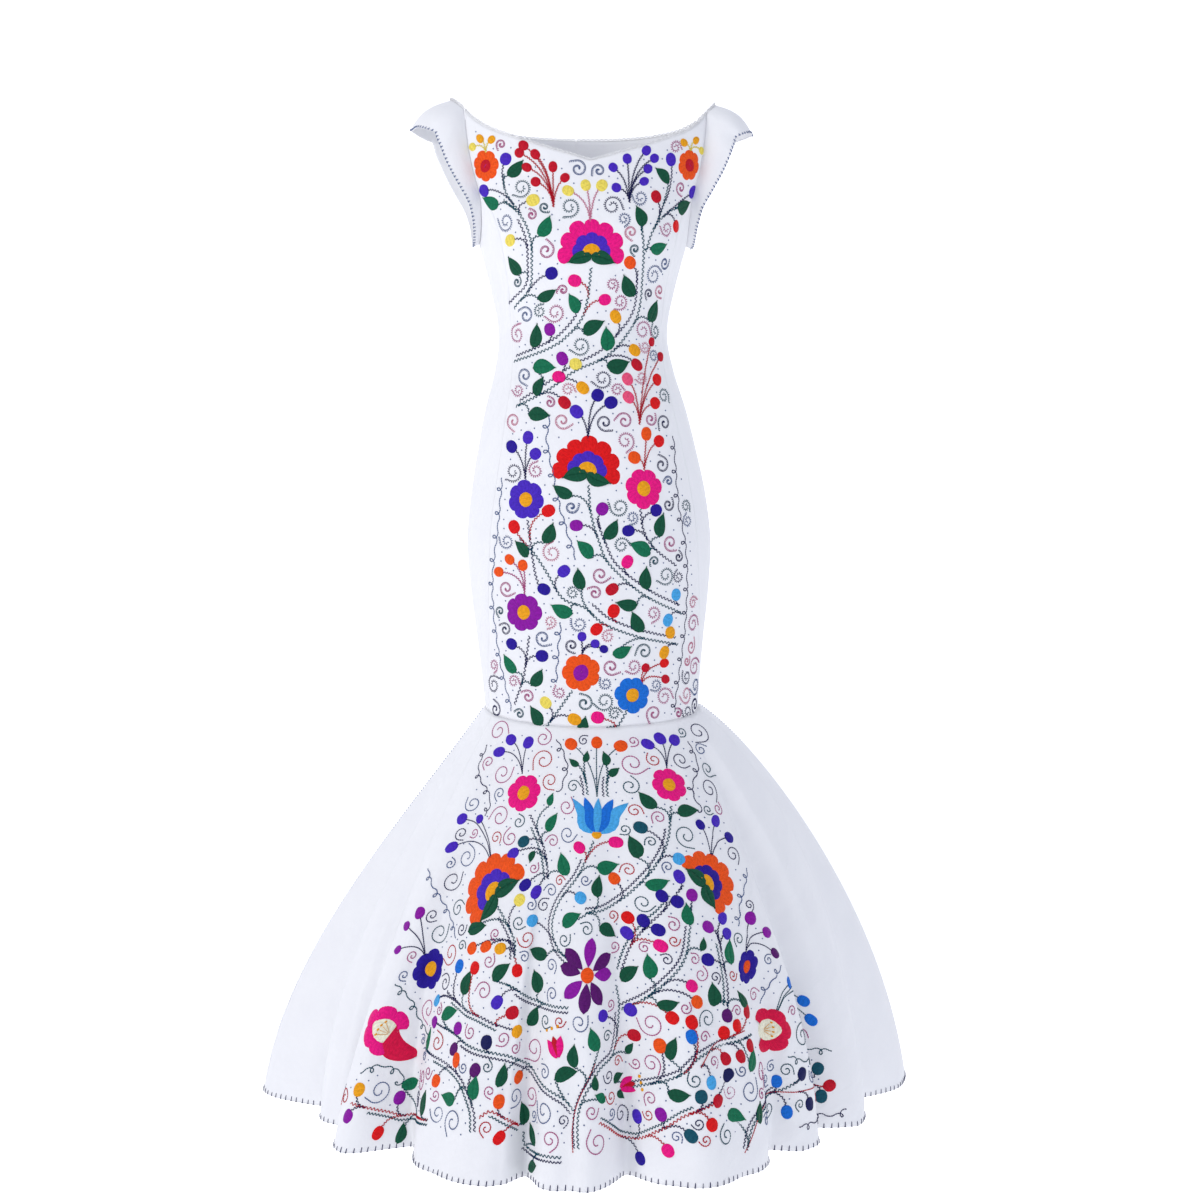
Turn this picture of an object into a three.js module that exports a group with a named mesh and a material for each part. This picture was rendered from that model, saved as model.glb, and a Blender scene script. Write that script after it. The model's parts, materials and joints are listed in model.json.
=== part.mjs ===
// A floor-length mermaid dress of white cotton, filled out as it is when worn: a close body cut as a wide front
// panel, two side panels and two back panels, short cap sleeves that carry it on the shoulders, and a bell-shaped
// fluted skirt of five gores that is sewn on at the knee. Inside it is hollow, and open at the neck, armholes and
// hem. Millimetres, +Z up. The origin is on the shoulder line, midway between the shoulders; the front faces -Y.
import * as THREE from "three";

// ---- Driving dimensions -------------------------------------------------------------------------------------

const CLOTH = 1.6; // thickness of every wall
const SEAM_GAP = 0.3; // clearance between two pieces that are sewn together
const KNEE_FRONT = -874; // height of the knee seam at the middle of the front
const KNEE_BACK = -840; // and at the middle of the back
const HEM = -1434; // height of the hem
const NECK_CORNER = -26; // where the neckline meets the sleeve seams
const NOTCH = -125; // where the side panels' seams reach the armholes
const UNDERARM = -206; // lowest point of the armholes
const ARMHOLE_FRONT = 64; // degrees from the front to an armhole's upright edge
const ARMHOLE_BACK = 116; // and to its upright edge at the back
const HEM_HALF_WIDTH = 446; // the skirt's mean size at the hem, before it is fluted
const HEM_FRONT = 344;
const HEM_BACK = 425;
const BELL_START = 0.02; // eases the spread in below the knee seam
const FLUTE_GROWTH = 1.1; // how late the flutes open on the way down
const FLUTE_CROWDING = 0.45; // 0 is a plain wave, near 1 has broad ridges and tight valleys

// The neckline's height, at shares of the way from the middle to the sleeve seams.
const NECKLINE = [
  { share: 0, front: -103, back: -48 },
  { share: 0.3, front: -85, back: -47 },
  { share: 0.54, front: -69, back: -44 },
  { share: 0.75, front: -54, back: -39 },
  { share: 0.92, front: -37, back: -31 },
  { share: 1, front: NECK_CORNER, back: NECK_CORNER },
];

// Horizontal sections of the close body, from the shoulders to below the knee. Its axis leans a little to +X as
// one hip is dropped.
const FIGURE = [
  { z: 10, axis: 0, halfWidth: 188, front: 80, back: 86 },
  { z: -26, axis: 0, halfWidth: 187, front: 88, back: 92 },
  { z: -60, axis: 0, halfWidth: 184, front: 98, back: 97 },
  { z: -100, axis: 0, halfWidth: 177, front: 106, back: 100 },
  { z: -150, axis: 0, halfWidth: 162, front: 111, back: 99 },
  { z: -206, axis: 0, halfWidth: 146, front: 110, back: 95 },
  { z: -273, axis: 0, halfWidth: 129, front: 100, back: 86 },
  { z: -330, axis: 0, halfWidth: 119, front: 93, back: 80 },
  { z: -380, axis: 2, halfWidth: 126, front: 97, back: 88 },
  { z: -436, axis: 4, halfWidth: 142, front: 105, back: 103 },
  { z: -490, axis: 6, halfWidth: 154, front: 110, back: 114 },
  { z: -553, axis: 8, halfWidth: 166, front: 114, back: 121 },
  { z: -620, axis: 9, halfWidth: 173, front: 117, back: 118 },
  { z: -690, axis: 10, halfWidth: 169, front: 116, back: 111 },
  { z: -760, axis: 11, halfWidth: 161, front: 112, back: 105 },
  { z: -820, axis: 12, halfWidth: 155, front: 109, back: 102 },
  { z: -860, axis: 13, halfWidth: 152, front: 107, back: 101 },
  { z: -900, axis: 13, halfWidth: 151, front: 106, back: 100 },
];

// Degrees from the front to the two long seams of each side panel.
const SIDE_SEAMS = [
  { z: -125, front: ARMHOLE_FRONT, back: ARMHOLE_BACK },
  { z: -160, front: 57, back: 120 },
  { z: -205, front: 53, back: 123 },
  { z: -273, front: 58, back: 123 },
  { z: -330, front: 62, back: 122 },
  { z: -400, front: 56, back: 122 },
  { z: -480, front: 55, back: 123 },
  { z: -560, front: 56, back: 124 },
  { z: -640, front: 58, back: 123 },
  { z: -700, front: 62, back: 121 },
  { z: -760, front: 68, back: 119 },
  { z: -820, front: 75, back: 118 },
  { z: -880, front: 80, back: 118 },
];

// Soft mounds that the bust darts give the front.
const BUST = [
  { angle: -35, z: -198, spread: 50, rise: 13 },
  { angle: 35, z: -198, spread: 50, rise: 13 },
];

// Drag folds of the body: troughs that run from one height down to another.
const DRAG_FOLDS = [
  { top: -214, bottom: -352, angleTop: -66, angleBottom: -74, width: 10, depth: 6 },
  { top: -210, bottom: -330, angleTop: -84, angleBottom: -88, width: 9, depth: 5 },
  { top: -212, bottom: -345, angleTop: 68, angleBottom: 76, width: 10, depth: 5.5 },
  { top: -208, bottom: -322, angleTop: 88, angleBottom: 92, width: 9, depth: 4.5 },
  { top: -236, bottom: -385, angleTop: 130, angleBottom: 148, width: 12, depth: 4.5 },
  { top: -232, bottom: -380, angleTop: -128, angleBottom: -147, width: 12, depth: 4.5 },
];

// The skirt's flutes, round from the right of the back. Each is a valley and the ridge after it: their places in
// degrees from the front, and how far out they reach at the hem as shares of the skirt's mean size. bell is how
// late the skirt spreads there, as the power of a quarter sine, and cone how far its side is straightened.
const FLUTES = [
  { valleyAt: -128, valley: 0.9, ridgeAt: -105, ridge: 1.1, bell: 0.95, cone: 0.1 },
  { valleyAt: -92, valley: 0.84, ridgeAt: -83, ridge: 0.88, bell: 1.15, cone: 0.3 },
  { valleyAt: -72, valley: 0.78, ridgeAt: -56, ridge: 0.97, bell: 1.1, cone: 0.55 },
  { valleyAt: -50, valley: 0.775, ridgeAt: -22, ridge: 1.06, bell: 1.1, cone: 0.5 },
  { valleyAt: -17, valley: 0.93, ridgeAt: -7.5, ridge: 1.11, bell: 1, cone: 0.25 },
  { valleyAt: 1.5, valley: 0.915, ridgeAt: 12, ridge: 1.115, bell: 0.95, cone: 0.15 },
  { valleyAt: 35, valley: 0.84, ridgeAt: 41, ridge: 0.93, bell: 1, cone: 0.1 },
  { valleyAt: 55, valley: 0.73, ridgeAt: 62, ridge: 0.915, bell: 1.1, cone: 0.5 },
  { valleyAt: 82, valley: 0.84, ridgeAt: 107, ridge: 1.13, bell: 0.75, cone: 0.2 },
  { valleyAt: 127, valley: 0.91, ridgeAt: 141, ridge: 1.06, bell: 0.5, cone: 0 },
  { valleyAt: 156, valley: 0.9, ridgeAt: 170, ridge: 1.08, bell: 0.6, cone: 0 },
  { valleyAt: 184, valley: 0.9, ridgeAt: 199, ridge: 1.05, bell: 0.7, cone: 0 },
  { valleyAt: 213, valley: 0.91, ridgeAt: 223, ridge: 1.05, bell: 0.85, cone: 0.05 },
];

// The skirt's gores, each from one place to another in the table above: a whole number is a valley and a half is
// a ridge.
const GORES = [
  { name: "skirt_side_right", from: 0.5, to: 2 },
  { name: "skirt_front", from: 2, to: 8 },
  { name: "skirt_side_left", from: 8, to: 8.5 },
  { name: "skirt_back_left", from: 8.5, to: 11 },
  { name: "skirt_back_right", from: 11, to: 13.5 },
];

// The front half of a cap sleeve at stations up the armhole: how far its free edge lies from its seam, sideways,
// forwards and down, and how far the cloth between them is puffed. The back half mirrors the front.
const SLEEVE = [
  { station: 0, out: 9, forward: 0, down: 3, puff: 0 },
  { station: 3, out: 12, forward: 3, down: 6, puff: 0.8 },
  { station: 5, out: 20, forward: 8, down: 14, puff: 2 },
  { station: 8, out: 41, forward: 11, down: 33, puff: 7 },
  { station: 11, out: 54, forward: 0, down: 44, puff: 11 },
];
const STATION_NOTCH = 5; // the station at the side panel's seam
const STATION_CORNER = 8; // the station at the neckline
const STATION_TOP = 11; // the station on top of the shoulder
const SHOULDER_REACH = 186; // from the middle to the sleeve's neck edge on top of the shoulder
const SHOULDER_EDGE = -9; // height of that edge

const UPPER_ROWS = 4; // rows of faces above the notch
const LOWER_ROWS = 22; // and below it
const FRONT_COLUMNS = 20;
const BACK_COLUMNS = 9;
const FLUTE_COLUMNS = 8;
const SKIRT_ROWS = 11;
const SLEEVE_ROWS = 4;

// ---- Helpers ------------------------------------------------------------------------------------------------

const radians = THREE.MathUtils.degToRad;
const { lerp, clamp, smoothstep, euclideanModulo } = THREE.MathUtils;

/** A smooth value from one column of a table, at a key that rises or falls steadily down the table. */
function read(table, key, column, at) {
  const last = table.length - 1;
  const rising = table[last][key] > table[0][key];
  const passed = table.filter((row) => (rising ? row[key] <= at : row[key] >= at)).length;
  const i = clamp(passed - 1, 0, last - 1);
  const slope = (n) => {
    const [before, after] = [table[Math.max(n - 1, 0)], table[Math.min(n + 1, last)]];
    return (after[column] - before[column]) / (after[key] - before[key]);
  };
  const [here, next] = [table[i], table[i + 1]];
  const span = next[key] - here[key];
  const u = clamp((at - here[key]) / span, 0, 1);
  const [rise, fall] = [u * u * (3 - 2 * u), u * (1 - u)];
  return lerp(here[column], next[column], rise) + span * fall * ((1 - u) * slope(i) - u * slope(i + 1));
}

/** The vector from surface(a - step, b) to surface(a + step, b), or the same along b. */
function difference(surface, a, b, stepA, stepB) {
  return surface(a + stepA, b + stepB).sub(surface(a - stepA, b - stepB));
}

/** A closed cloth wall. surface(a, b) gives the outer face, and place(s, v) the a and b to read it at, where s
 *  runs to the right seen from outside and v runs down, both from 0 to 1. step is a small change of a and b, in the
 *  same directions. */
function wall(surface, place, columns, rows, step) {
  const outer = [];
  const inner = [];
  for (let j = 0; j <= rows; j++) {
    for (let i = 0; i <= columns; i++) {
      const [a, b] = place(i / columns, j / rows);
      const across = difference(surface, a, b, step.a, 0);
      const down = difference(surface, a, b, 0, step.b);
      const normal = down.cross(across).normalize();
      const at = surface(a, b);
      outer.push(at);
      inner.push(at.clone().addScaledVector(normal, -CLOTH));
    }
  }
  const at = (i, j) => j * (columns + 1) + i;
  const under = (i, j) => outer.length + at(i, j);
  const faces = [];
  const quad = (a, b, c, d) => faces.push(a, b, c, a, c, d);
  for (let j = 0; j < rows; j++) {
    for (let i = 0; i < columns; i++) {
      quad(at(i, j), at(i, j + 1), at(i + 1, j + 1), at(i + 1, j));
      quad(under(i + 1, j), under(i + 1, j + 1), under(i, j + 1), under(i, j));
    }
  }
  for (let i = 0; i < columns; i++) {
    quad(at(i, 0), at(i + 1, 0), under(i + 1, 0), under(i, 0));
    quad(at(i + 1, rows), at(i, rows), under(i, rows), under(i + 1, rows));
  }
  for (let j = 0; j < rows; j++) {
    quad(at(0, j + 1), at(0, j), under(0, j), under(0, j + 1));
    quad(at(columns, j), at(columns, j + 1), under(columns, j + 1), under(columns, j));
  }
  const geometry = new THREE.BufferGeometry().setFromPoints([...outer, ...inner]);
  geometry.setIndex(faces);
  geometry.computeVertexNormals();
  return geometry;
}

/** Height of the knee seam at an angle from the front. */
const kneeHeight = (angle) => lerp(KNEE_FRONT, KNEE_BACK, 0.5 - 0.5 * Math.cos(radians(angle)));

// ---- The close body -----------------------------------------------------------------------------------------

/** How far the bust mounds and drag folds move the body's face, at a point this far from the axis. */
function bodyRelief(angle, z, reach) {
  const across = (centre) => radians(euclideanModulo(angle - centre + 180, 360) - 180) * reach;
  let relief = 0;
  for (const mound of BUST) {
    const distance = Math.hypot(across(mound.angle), z - mound.z) / mound.spread;
    relief += mound.rise * Math.exp(-(distance ** 2));
  }
  for (const fold of DRAG_FOLDS) {
    const along = clamp((z - fold.top) / (fold.bottom - fold.top), 0, 1);
    const distance = across(lerp(fold.angleTop, fold.angleBottom, along)) / fold.width;
    relief -= fold.depth * Math.sin(Math.PI * along) * Math.exp(-(distance ** 2));
  }
  return relief;
}

/** A point of the body's outer face, at an angle in degrees from the front towards +X. */
function bodySurface(angle, z) {
  const turn = radians(angle);
  const halfWidth = read(FIGURE, "z", "halfWidth", z);
  const depth = read(FIGURE, "z", Math.cos(turn) > 0 ? "front" : "back", z);
  const at = new THREE.Vector3(halfWidth * Math.sin(turn), -depth * Math.cos(turn), z);
  const relief = bodyRelief(angle, z, Math.hypot(at.x, at.y));
  const outwards = new THREE.Vector3(Math.sin(turn) / halfWidth, -Math.cos(turn) / depth, 0).normalize();
  at.x += read(FIGURE, "z", "axis", z);
  return at.addScaledVector(outwards, relief);
}

/** The angle half a seam gap away from a seam on the body, on the side that the sign says. */
function besideSeam(angle, z, sign) {
  const probe = 0.1;
  const perDegree = bodySurface(angle + probe, z).distanceTo(bodySurface(angle, z)) / probe;
  return angle + (sign * SEAM_GAP) / 2 / perDegree;
}

/** The front or back panels' outer edge: the armhole above the notch, the side panel's seam below it. */
const panelEdge = (part, z) => read(SIDE_SEAMS, "z", part, Math.min(z, NOTCH));
const frontEdge = (z) => besideSeam(panelEdge("front", z), z, -1);
const backEdge = (z) => besideSeam(panelEdge("back", z), z, 1);

/** The height at a share of the way down a front or back panel, at a column that meets the knee at an angle. */
function panelHeight(neck, kneeAngle, v) {
  const row = v * (UPPER_ROWS + LOWER_ROWS);
  const bottom = kneeHeight(kneeAngle) + SEAM_GAP / 2;
  if (row < UPPER_ROWS) return lerp(neck, NOTCH, row / UPPER_ROWS);
  return lerp(NOTCH, bottom, (row - UPPER_ROWS) / LOWER_ROWS);
}

function frontPanel(s, v) {
  const across = 2 * s - 1;
  const neck = read(NECKLINE, "share", "front", Math.abs(across));
  const z = panelHeight(neck, across * panelEdge("front", KNEE_FRONT), v);
  return [across * frontEdge(z), z];
}

/** side is 1 on the wearer's left, at +X, and -1 on the right. */
function backPanel(side, s, v) {
  const share = side > 0 ? 1 - s : s;
  const neck = read(NECKLINE, "share", "back", share);
  const z = panelHeight(neck, lerp(180, panelEdge("back", KNEE_FRONT), share), v);
  return [side * lerp(besideSeam(180, z, -1), backEdge(z), share), z];
}

/** A point of the armhole's round lower part: 0 is its front notch and 1 its back notch. */
function armhole(share) {
  const turn = Math.PI * share;
  const angle = lerp(ARMHOLE_FRONT, ARMHOLE_BACK, 0.5 - 0.5 * Math.cos(turn));
  return [angle, lerp(NOTCH, UNDERARM, Math.sin(turn))];
}

function sidePanel(side, s, v) {
  const share = side > 0 ? s : 1 - s;
  const [topAngle, top] = armhole(share);
  const seam = (part, z) => panelEdge(part, z);
  const kneeAngle = lerp(seam("front", KNEE_FRONT), seam("back", KNEE_FRONT), share);
  const z = lerp(top - SEAM_GAP / 2, kneeHeight(kneeAngle) + SEAM_GAP / 2, v);
  const topShare = (topAngle - seam("front", top)) / (seam("back", top) - seam("front", top));
  const shareHere = lerp(topShare, share, smoothstep(v, 0, 0.3));
  const [front, back] = [besideSeam(seam("front", z), z, 1), besideSeam(seam("back", z), z, -1)];
  return [side * lerp(front, back, shareHere), z];
}

// ---- The cap sleeves ----------------------------------------------------------------------------------------

/** The seam of the sleeve on the wearer's left, at a station below 0 for the front and above 0 for the back. It
 *  runs up the armhole and then, from the neck corner, over the shoulder as a free neck edge. */
function sleeveSeam(station) {
  const front = station < 0;
  const up = Math.min(Math.abs(station), 2 * STATION_TOP - Math.abs(station));
  if (up < STATION_NOTCH) {
    const share = (0.5 * up) / STATION_NOTCH;
    return bodySurface(...armhole(front ? 0.5 - share : 0.5 + share));
  }
  const edge = front ? ARMHOLE_FRONT : ARMHOLE_BACK;
  if (up < STATION_CORNER) {
    const share = (up - STATION_NOTCH) / (STATION_CORNER - STATION_NOTCH);
    return bodySurface(edge, lerp(NOTCH, NECK_CORNER, share));
  }
  const corner = bodySurface(edge, NECK_CORNER);
  const turn = (Math.PI / 2) * ((up - STATION_CORNER) / (STATION_TOP - STATION_CORNER));
  const x = lerp(corner.x, SHOULDER_REACH, Math.sin(turn));
  return new THREE.Vector3(x, corner.y * Math.cos(turn), lerp(corner.z, SHOULDER_EDGE, Math.sin(turn)));
}

/** A point of the sleeve's outer face: k counts stations from the underarm, up the front, over the shoulder and
 *  down the back, and v is 0 at the seam and 1 at the free edge. */
function sleeveSurface(k, v) {
  const station = (at) => (at < STATION_TOP ? -at : 2 * STATION_TOP - at);
  const up = Math.min(k, 2 * STATION_TOP - k);
  const part = (column) => read(SLEEVE, "station", column, up);
  const forward = (k < STATION_TOP ? -1 : 1) * part("forward");
  const way = new THREE.Vector3(part("out"), forward, -part("down"));
  const [before, after] = [sleeveSeam(station(k - 0.1)), sleeveSeam(station(k + 0.1))];
  const outwards = way.clone().cross(after.sub(before)).normalize();
  const reach = lerp(SEAM_GAP / way.length(), 1, v);
  const swell = part("puff") * Math.sin(Math.PI * clamp(v, -0.1, 1.1) * 0.93);
  return sleeveSeam(station(k)).addScaledVector(way, reach).addScaledVector(outwards, swell);
}

function sleeve(s, v) {
  const underarm = 0.02; // stations that half a seam gap takes up
  return [lerp(underarm, 2 * STATION_TOP - underarm, s), v];
}

// ---- The fluted skirt ---------------------------------------------------------------------------------------

/** A point of the skirt's outer face: place counts flutes round from the first, and fall is 0 at the knee seam
 *  and 1 at the hem. */
function skirtSurface(place, fall) {
  const count = FLUTES.length;
  const lap = Math.floor(place / count);
  const i = Math.floor(place) - lap * count;
  const u = place - Math.floor(place);
  const flute = FLUTES[i];
  const next = FLUTES[(i + 1) % count];
  const foot = u < 0.5 ? flute.valley : next.valley;
  const footAt = u < 0.5 ? flute.valleyAt : next.valleyAt + (i + 1 === count ? 360 : 0);
  const climb = u < 0.5 ? 2 * u : 2 - 2 * u;
  const crowding = FLUTE_CROWDING * clamp(fall, 0, 1);
  const angle = lerp(footAt, flute.ridgeAt, climb - (crowding * Math.sin(Math.PI * climb)) / Math.PI);
  const turn = radians(angle);
  const hemShare = lerp(foot, flute.ridge, 0.5 - 0.5 * Math.cos(Math.PI * climb));
  const share = lerp(1, hemShare, clamp(fall, 0, 1.1) ** FLUTE_GROWTH);
  const bell = lerp(flute.bell, next.bell, u);
  const rise = (at) => Math.sin((Math.PI / 2) * Math.min(at, 1)) ** bell;
  const belled = (rise(fall + BELL_START) - rise(BELL_START)) / (1 - rise(BELL_START));
  const spread = lerp(belled, fall, lerp(flute.cone, next.cone, u));
  const top = kneeHeight(angle) - SEAM_GAP / 2;
  const side = Math.cos(turn) > 0 ? "front" : "back";
  const halfWidth = lerp(read(FIGURE, "z", "halfWidth", top), HEM_HALF_WIDTH, spread) * share;
  const hemDepth = side === "front" ? HEM_FRONT : HEM_BACK;
  const depth = lerp(read(FIGURE, "z", side, top), hemDepth, spread) * share;
  const x = read(FIGURE, "z", "axis", top) + halfWidth * Math.sin(turn);
  return new THREE.Vector3(x, -depth * Math.cos(turn), lerp(top, HEM, fall));
}

/** The place half a seam gap away from a seam of the skirt, on the side that the sign says. */
function besideGore(place, fall, sign) {
  const probe = 0.01 * sign;
  const perFlute = skirtSurface(place + probe, fall).distanceTo(skirtSurface(place, fall)) / Math.abs(probe);
  return place + (sign * SEAM_GAP) / 2 / perFlute;
}

// ---- Meshes -------------------------------------------------------------------------------------------------

const cotton = new THREE.MeshStandardMaterial({ color: 0xf4f3f6, roughness: 0.85, metalness: 0 });

const dress = new THREE.Group();

function add(name, geometry) {
  const mesh = new THREE.Mesh(geometry, cotton.clone());
  mesh.name = name;
  dress.add(mesh);
}

const bodyRows = UPPER_ROWS + LOWER_ROWS;
const bodyStep = { a: 0.05, b: -0.05 };
add("front_panel", wall(bodySurface, frontPanel, FRONT_COLUMNS, bodyRows, bodyStep));
for (const [hand, side] of [["left", 1], ["right", -1]]) {
  const sidePlace = (s, v) => sidePanel(side, s, v);
  const backPlace = (s, v) => backPanel(side, s, v);
  add(`side_panel_${hand}`, wall(bodySurface, sidePlace, 2 * STATION_NOTCH, LOWER_ROWS, bodyStep));
  add(`back_panel_${hand}`, wall(bodySurface, backPlace, BACK_COLUMNS, bodyRows, bodyStep));
}

const sleeveStep = { a: 0.01, b: 0.01 };
const mirrored = (k, v) => sleeveSurface(2 * STATION_TOP - k, v).multiply(new THREE.Vector3(-1, 1, 1));
add("sleeve_left", wall(sleeveSurface, sleeve, 2 * STATION_TOP, SLEEVE_ROWS, sleeveStep));
add("sleeve_right", wall(mirrored, sleeve, 2 * STATION_TOP, SLEEVE_ROWS, sleeveStep));

const skirtStep = { a: 0.001, b: 0.001 };
for (const { name, from, to } of GORES) {
  const gore = (s, v) => [lerp(besideGore(from, v, 1), besideGore(to, v, -1), s), v];
  add(name, wall(skirtSurface, gore, (to - from) * FLUTE_COLUMNS, SKIRT_ROWS, skirtStep));
}

export default dress;
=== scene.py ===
"""A floor-length mermaid dress of white cotton with hand embroidery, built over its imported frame."""

import json
import logging
import math
from dataclasses import dataclass, field
from enum import Enum
from functools import partial
from typing import Callable, ClassVar, Iterable, Sequence

import bpy
import numpy as np
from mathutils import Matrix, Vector

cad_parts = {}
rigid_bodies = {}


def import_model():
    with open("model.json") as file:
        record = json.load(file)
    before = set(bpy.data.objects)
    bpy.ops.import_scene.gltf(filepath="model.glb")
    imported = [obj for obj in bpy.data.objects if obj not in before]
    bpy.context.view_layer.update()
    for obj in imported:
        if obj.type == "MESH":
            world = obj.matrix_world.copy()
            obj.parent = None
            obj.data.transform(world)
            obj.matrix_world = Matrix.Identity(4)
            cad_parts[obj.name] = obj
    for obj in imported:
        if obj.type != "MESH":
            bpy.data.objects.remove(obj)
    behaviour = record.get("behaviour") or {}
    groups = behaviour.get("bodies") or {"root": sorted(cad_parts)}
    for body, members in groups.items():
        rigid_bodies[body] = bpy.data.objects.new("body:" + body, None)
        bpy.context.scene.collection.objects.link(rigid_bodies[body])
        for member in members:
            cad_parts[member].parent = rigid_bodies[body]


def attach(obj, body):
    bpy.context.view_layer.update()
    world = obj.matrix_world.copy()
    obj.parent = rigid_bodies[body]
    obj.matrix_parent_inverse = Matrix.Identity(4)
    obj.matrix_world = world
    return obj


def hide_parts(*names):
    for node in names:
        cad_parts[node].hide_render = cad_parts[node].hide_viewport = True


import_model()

log = logging.getLogger("dress")
MM = 0.001
Points = np.ndarray


# ---- Sizes of the dress, in millimetres ----


@dataclass(frozen=True)
class BodySection:
    """A level section of the close body: its height, its axis, half its width and its depths."""

    z: float
    axis: float
    half_width: float
    front: float
    back: float


@dataclass(frozen=True)
class SideSeam:
    """Degrees from the front to a side panel's two long seams, at a height."""

    z: float
    front: float
    back: float


@dataclass(frozen=True)
class NeckPoint:
    """Heights of the front and back neckline at a share of the way from the middle to the sleeve."""

    share: float
    front: float
    back: float


@dataclass(frozen=True)
class Mound:
    """A soft mound that a bust dart gives the front."""

    angle: float
    z: float
    spread: float
    rise: float


@dataclass(frozen=True)
class Fold:
    """A soft trough of the body between two heights; a negative depth is a ridge."""

    top: float
    bottom: float
    angle_top: float
    angle_bottom: float
    width: float
    depth: float


@dataclass(frozen=True)
class Flute:
    """One valley of the skirt and the ridge after it, with their reaches at the hem."""

    valley_at: float
    valley: float
    ridge_at: float
    ridge: float
    bell: float
    cone: float


@dataclass(frozen=True)
class Ripple:
    """A shallow fold of the skirt that fades in below a start: its place, width in flutes and depth."""

    place: float
    start: float
    width: float
    depth: float
    drift: float


@dataclass(frozen=True)
class SleeveStation:
    """How far a cap sleeve's free edge lies from its seam, and its puff, at a station up the armhole."""

    station: float
    out: float
    forward: float
    down: float
    puff: float


@dataclass(frozen=True)
class Cut:
    """The dress's driving sizes."""

    cloth: float = 1.5
    seam_gap: float = 0.06
    knee_front: float = -874.0
    knee_back: float = -840.0
    hem: float = -1434.0
    neck_corner: float = -26.0
    notch: float = -125.0
    underarm: float = -206.0
    armhole_front: float = 64.0
    armhole_back: float = 116.0
    hem_half_width: float = 446.0
    hem_front: float = 344.0
    hem_back: float = 425.0
    bell_start: float = 0.02
    flute_growth: float = 1.1
    flute_crowding: float = 0.45
    shoulder_reach: float = 186.0
    shoulder_edge: float = -9.0
    station_notch: float = 5.0
    station_corner: float = 8.0
    station_top: float = 11.0


FIGURE = tuple(BodySection(*row) for row in (
    (10, 0, 188, 80, 86), (-26, 0, 187, 88, 92), (-60, 0, 184, 98, 97), (-100, 0, 177, 106, 100),
    (-150, 0, 162, 111, 99), (-206, 0, 146, 110, 95), (-273, 0, 129, 100, 86), (-330, 0, 119, 93, 80),
    (-380, 2, 126, 97, 88), (-436, 4, 142, 105, 103), (-490, 6, 154, 110, 114), (-553, 8, 166, 114, 121),
    (-620, 9, 173, 117, 118), (-690, 10, 169, 116, 111), (-760, 11, 161, 112, 105),
    (-820, 12, 155, 109, 102), (-860, 13, 152, 107, 101), (-900, 13, 151, 106, 100),
))

SIDE_SEAMS = tuple(SideSeam(*row) for row in (
    (-125, 64, 116), (-160, 57, 120), (-205, 53, 123), (-273, 58, 123), (-330, 62, 122), (-400, 56, 122),
    (-480, 55, 123), (-560, 56, 124), (-640, 58, 123), (-700, 62, 121), (-760, 68, 119), (-820, 75, 118),
    (-880, 80, 118),
))

NECKLINE = tuple(NeckPoint(*row) for row in (
    (0, -103, -48), (0.3, -85, -47), (0.54, -69, -44), (0.75, -54, -39), (0.92, -37, -31), (1, -26, -26),
))

BUST = (Mound(-35, -198, 50, 13), Mound(35, -198, 50, 13))

DRAG_FOLDS = tuple(Fold(*row) for row in (
    (-214, -352, -66, -74, 10, 6), (-210, -330, -84, -88, 9, 5), (-212, -345, 68, 76, 10, 5.5),
    (-208, -322, 88, 92, 9, 4.5), (-236, -385, 130, 148, 12, 4.5), (-232, -380, -128, -147, 12, 4.5),
))

# Finer creases that the visual cloth adds to the drag folds.
SOFT_CREASES = tuple(Fold(*row) for row in (
    (-232, -420, -60, -50, 6, 2.2), (-290, -400, -66, -60, 5, 1.8), (-240, -410, 60, 52, 6, 2.0),
    (-286, -398, 68, 61, 5, 1.7), (-222, -300, -74, -72, 5, 1.8), (-262, -372, -79, -92, 6, 2.4),
    (-218, -296, -95, -104, 5, 1.6), (-226, -318, 78, 82, 6, 2.2), (-214, -290, 99, 106, 5, 1.7),
    (-250, -352, 110, 118, 7, 2.0), (-248, -348, -112, -119, 7, 2.2), (-132, -232, -66, -58, 6, 1.6),
    (-130, -226, 66, 59, 6, 1.5), (-330, -560, -104, -112, 9, 2.2), (-352, -520, 104, 110, 9, 2.0),
    (-700, -852, -70, -60, 10, 2.0), (-720, -858, 66, 58, 10, 1.9), (-690, -846, 142, 132, 12, 2.4),
    (-705, -850, -140, -131, 12, 2.2), (-320, -352, -40, -8, 8, 1.0), (-314, -346, 42, 12, 8, 0.9),
    (-300, -366, 150, 172, 9, 2.0), (-296, -360, -150, -170, 9, 1.8),
))

FLUTES = tuple(Flute(*row) for row in (
    (-128, 0.9, -105, 1.1, 0.95, 0.1), (-92, 0.84, -83, 0.88, 1.15, 0.3), (-72, 0.78, -56, 0.97, 1.1, 0.55),
    (-50, 0.775, -22, 1.06, 1.1, 0.5), (-17, 0.93, -7.5, 1.11, 1, 0.25),
    (1.5, 0.915, 12, 1.115, 0.95, 0.15), (35, 0.84, 41, 0.93, 1, 0.1), (55, 0.73, 62, 0.915, 1.1, 0.5),
    (82, 0.84, 107, 1.13, 0.75, 0.2), (127, 0.91, 141, 1.06, 0.5, 0), (156, 0.9, 170, 1.08, 0.6, 0),
    (184, 0.9, 199, 1.05, 0.7, 0), (213, 0.91, 223, 1.05, 0.85, 0.05),
))

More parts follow.
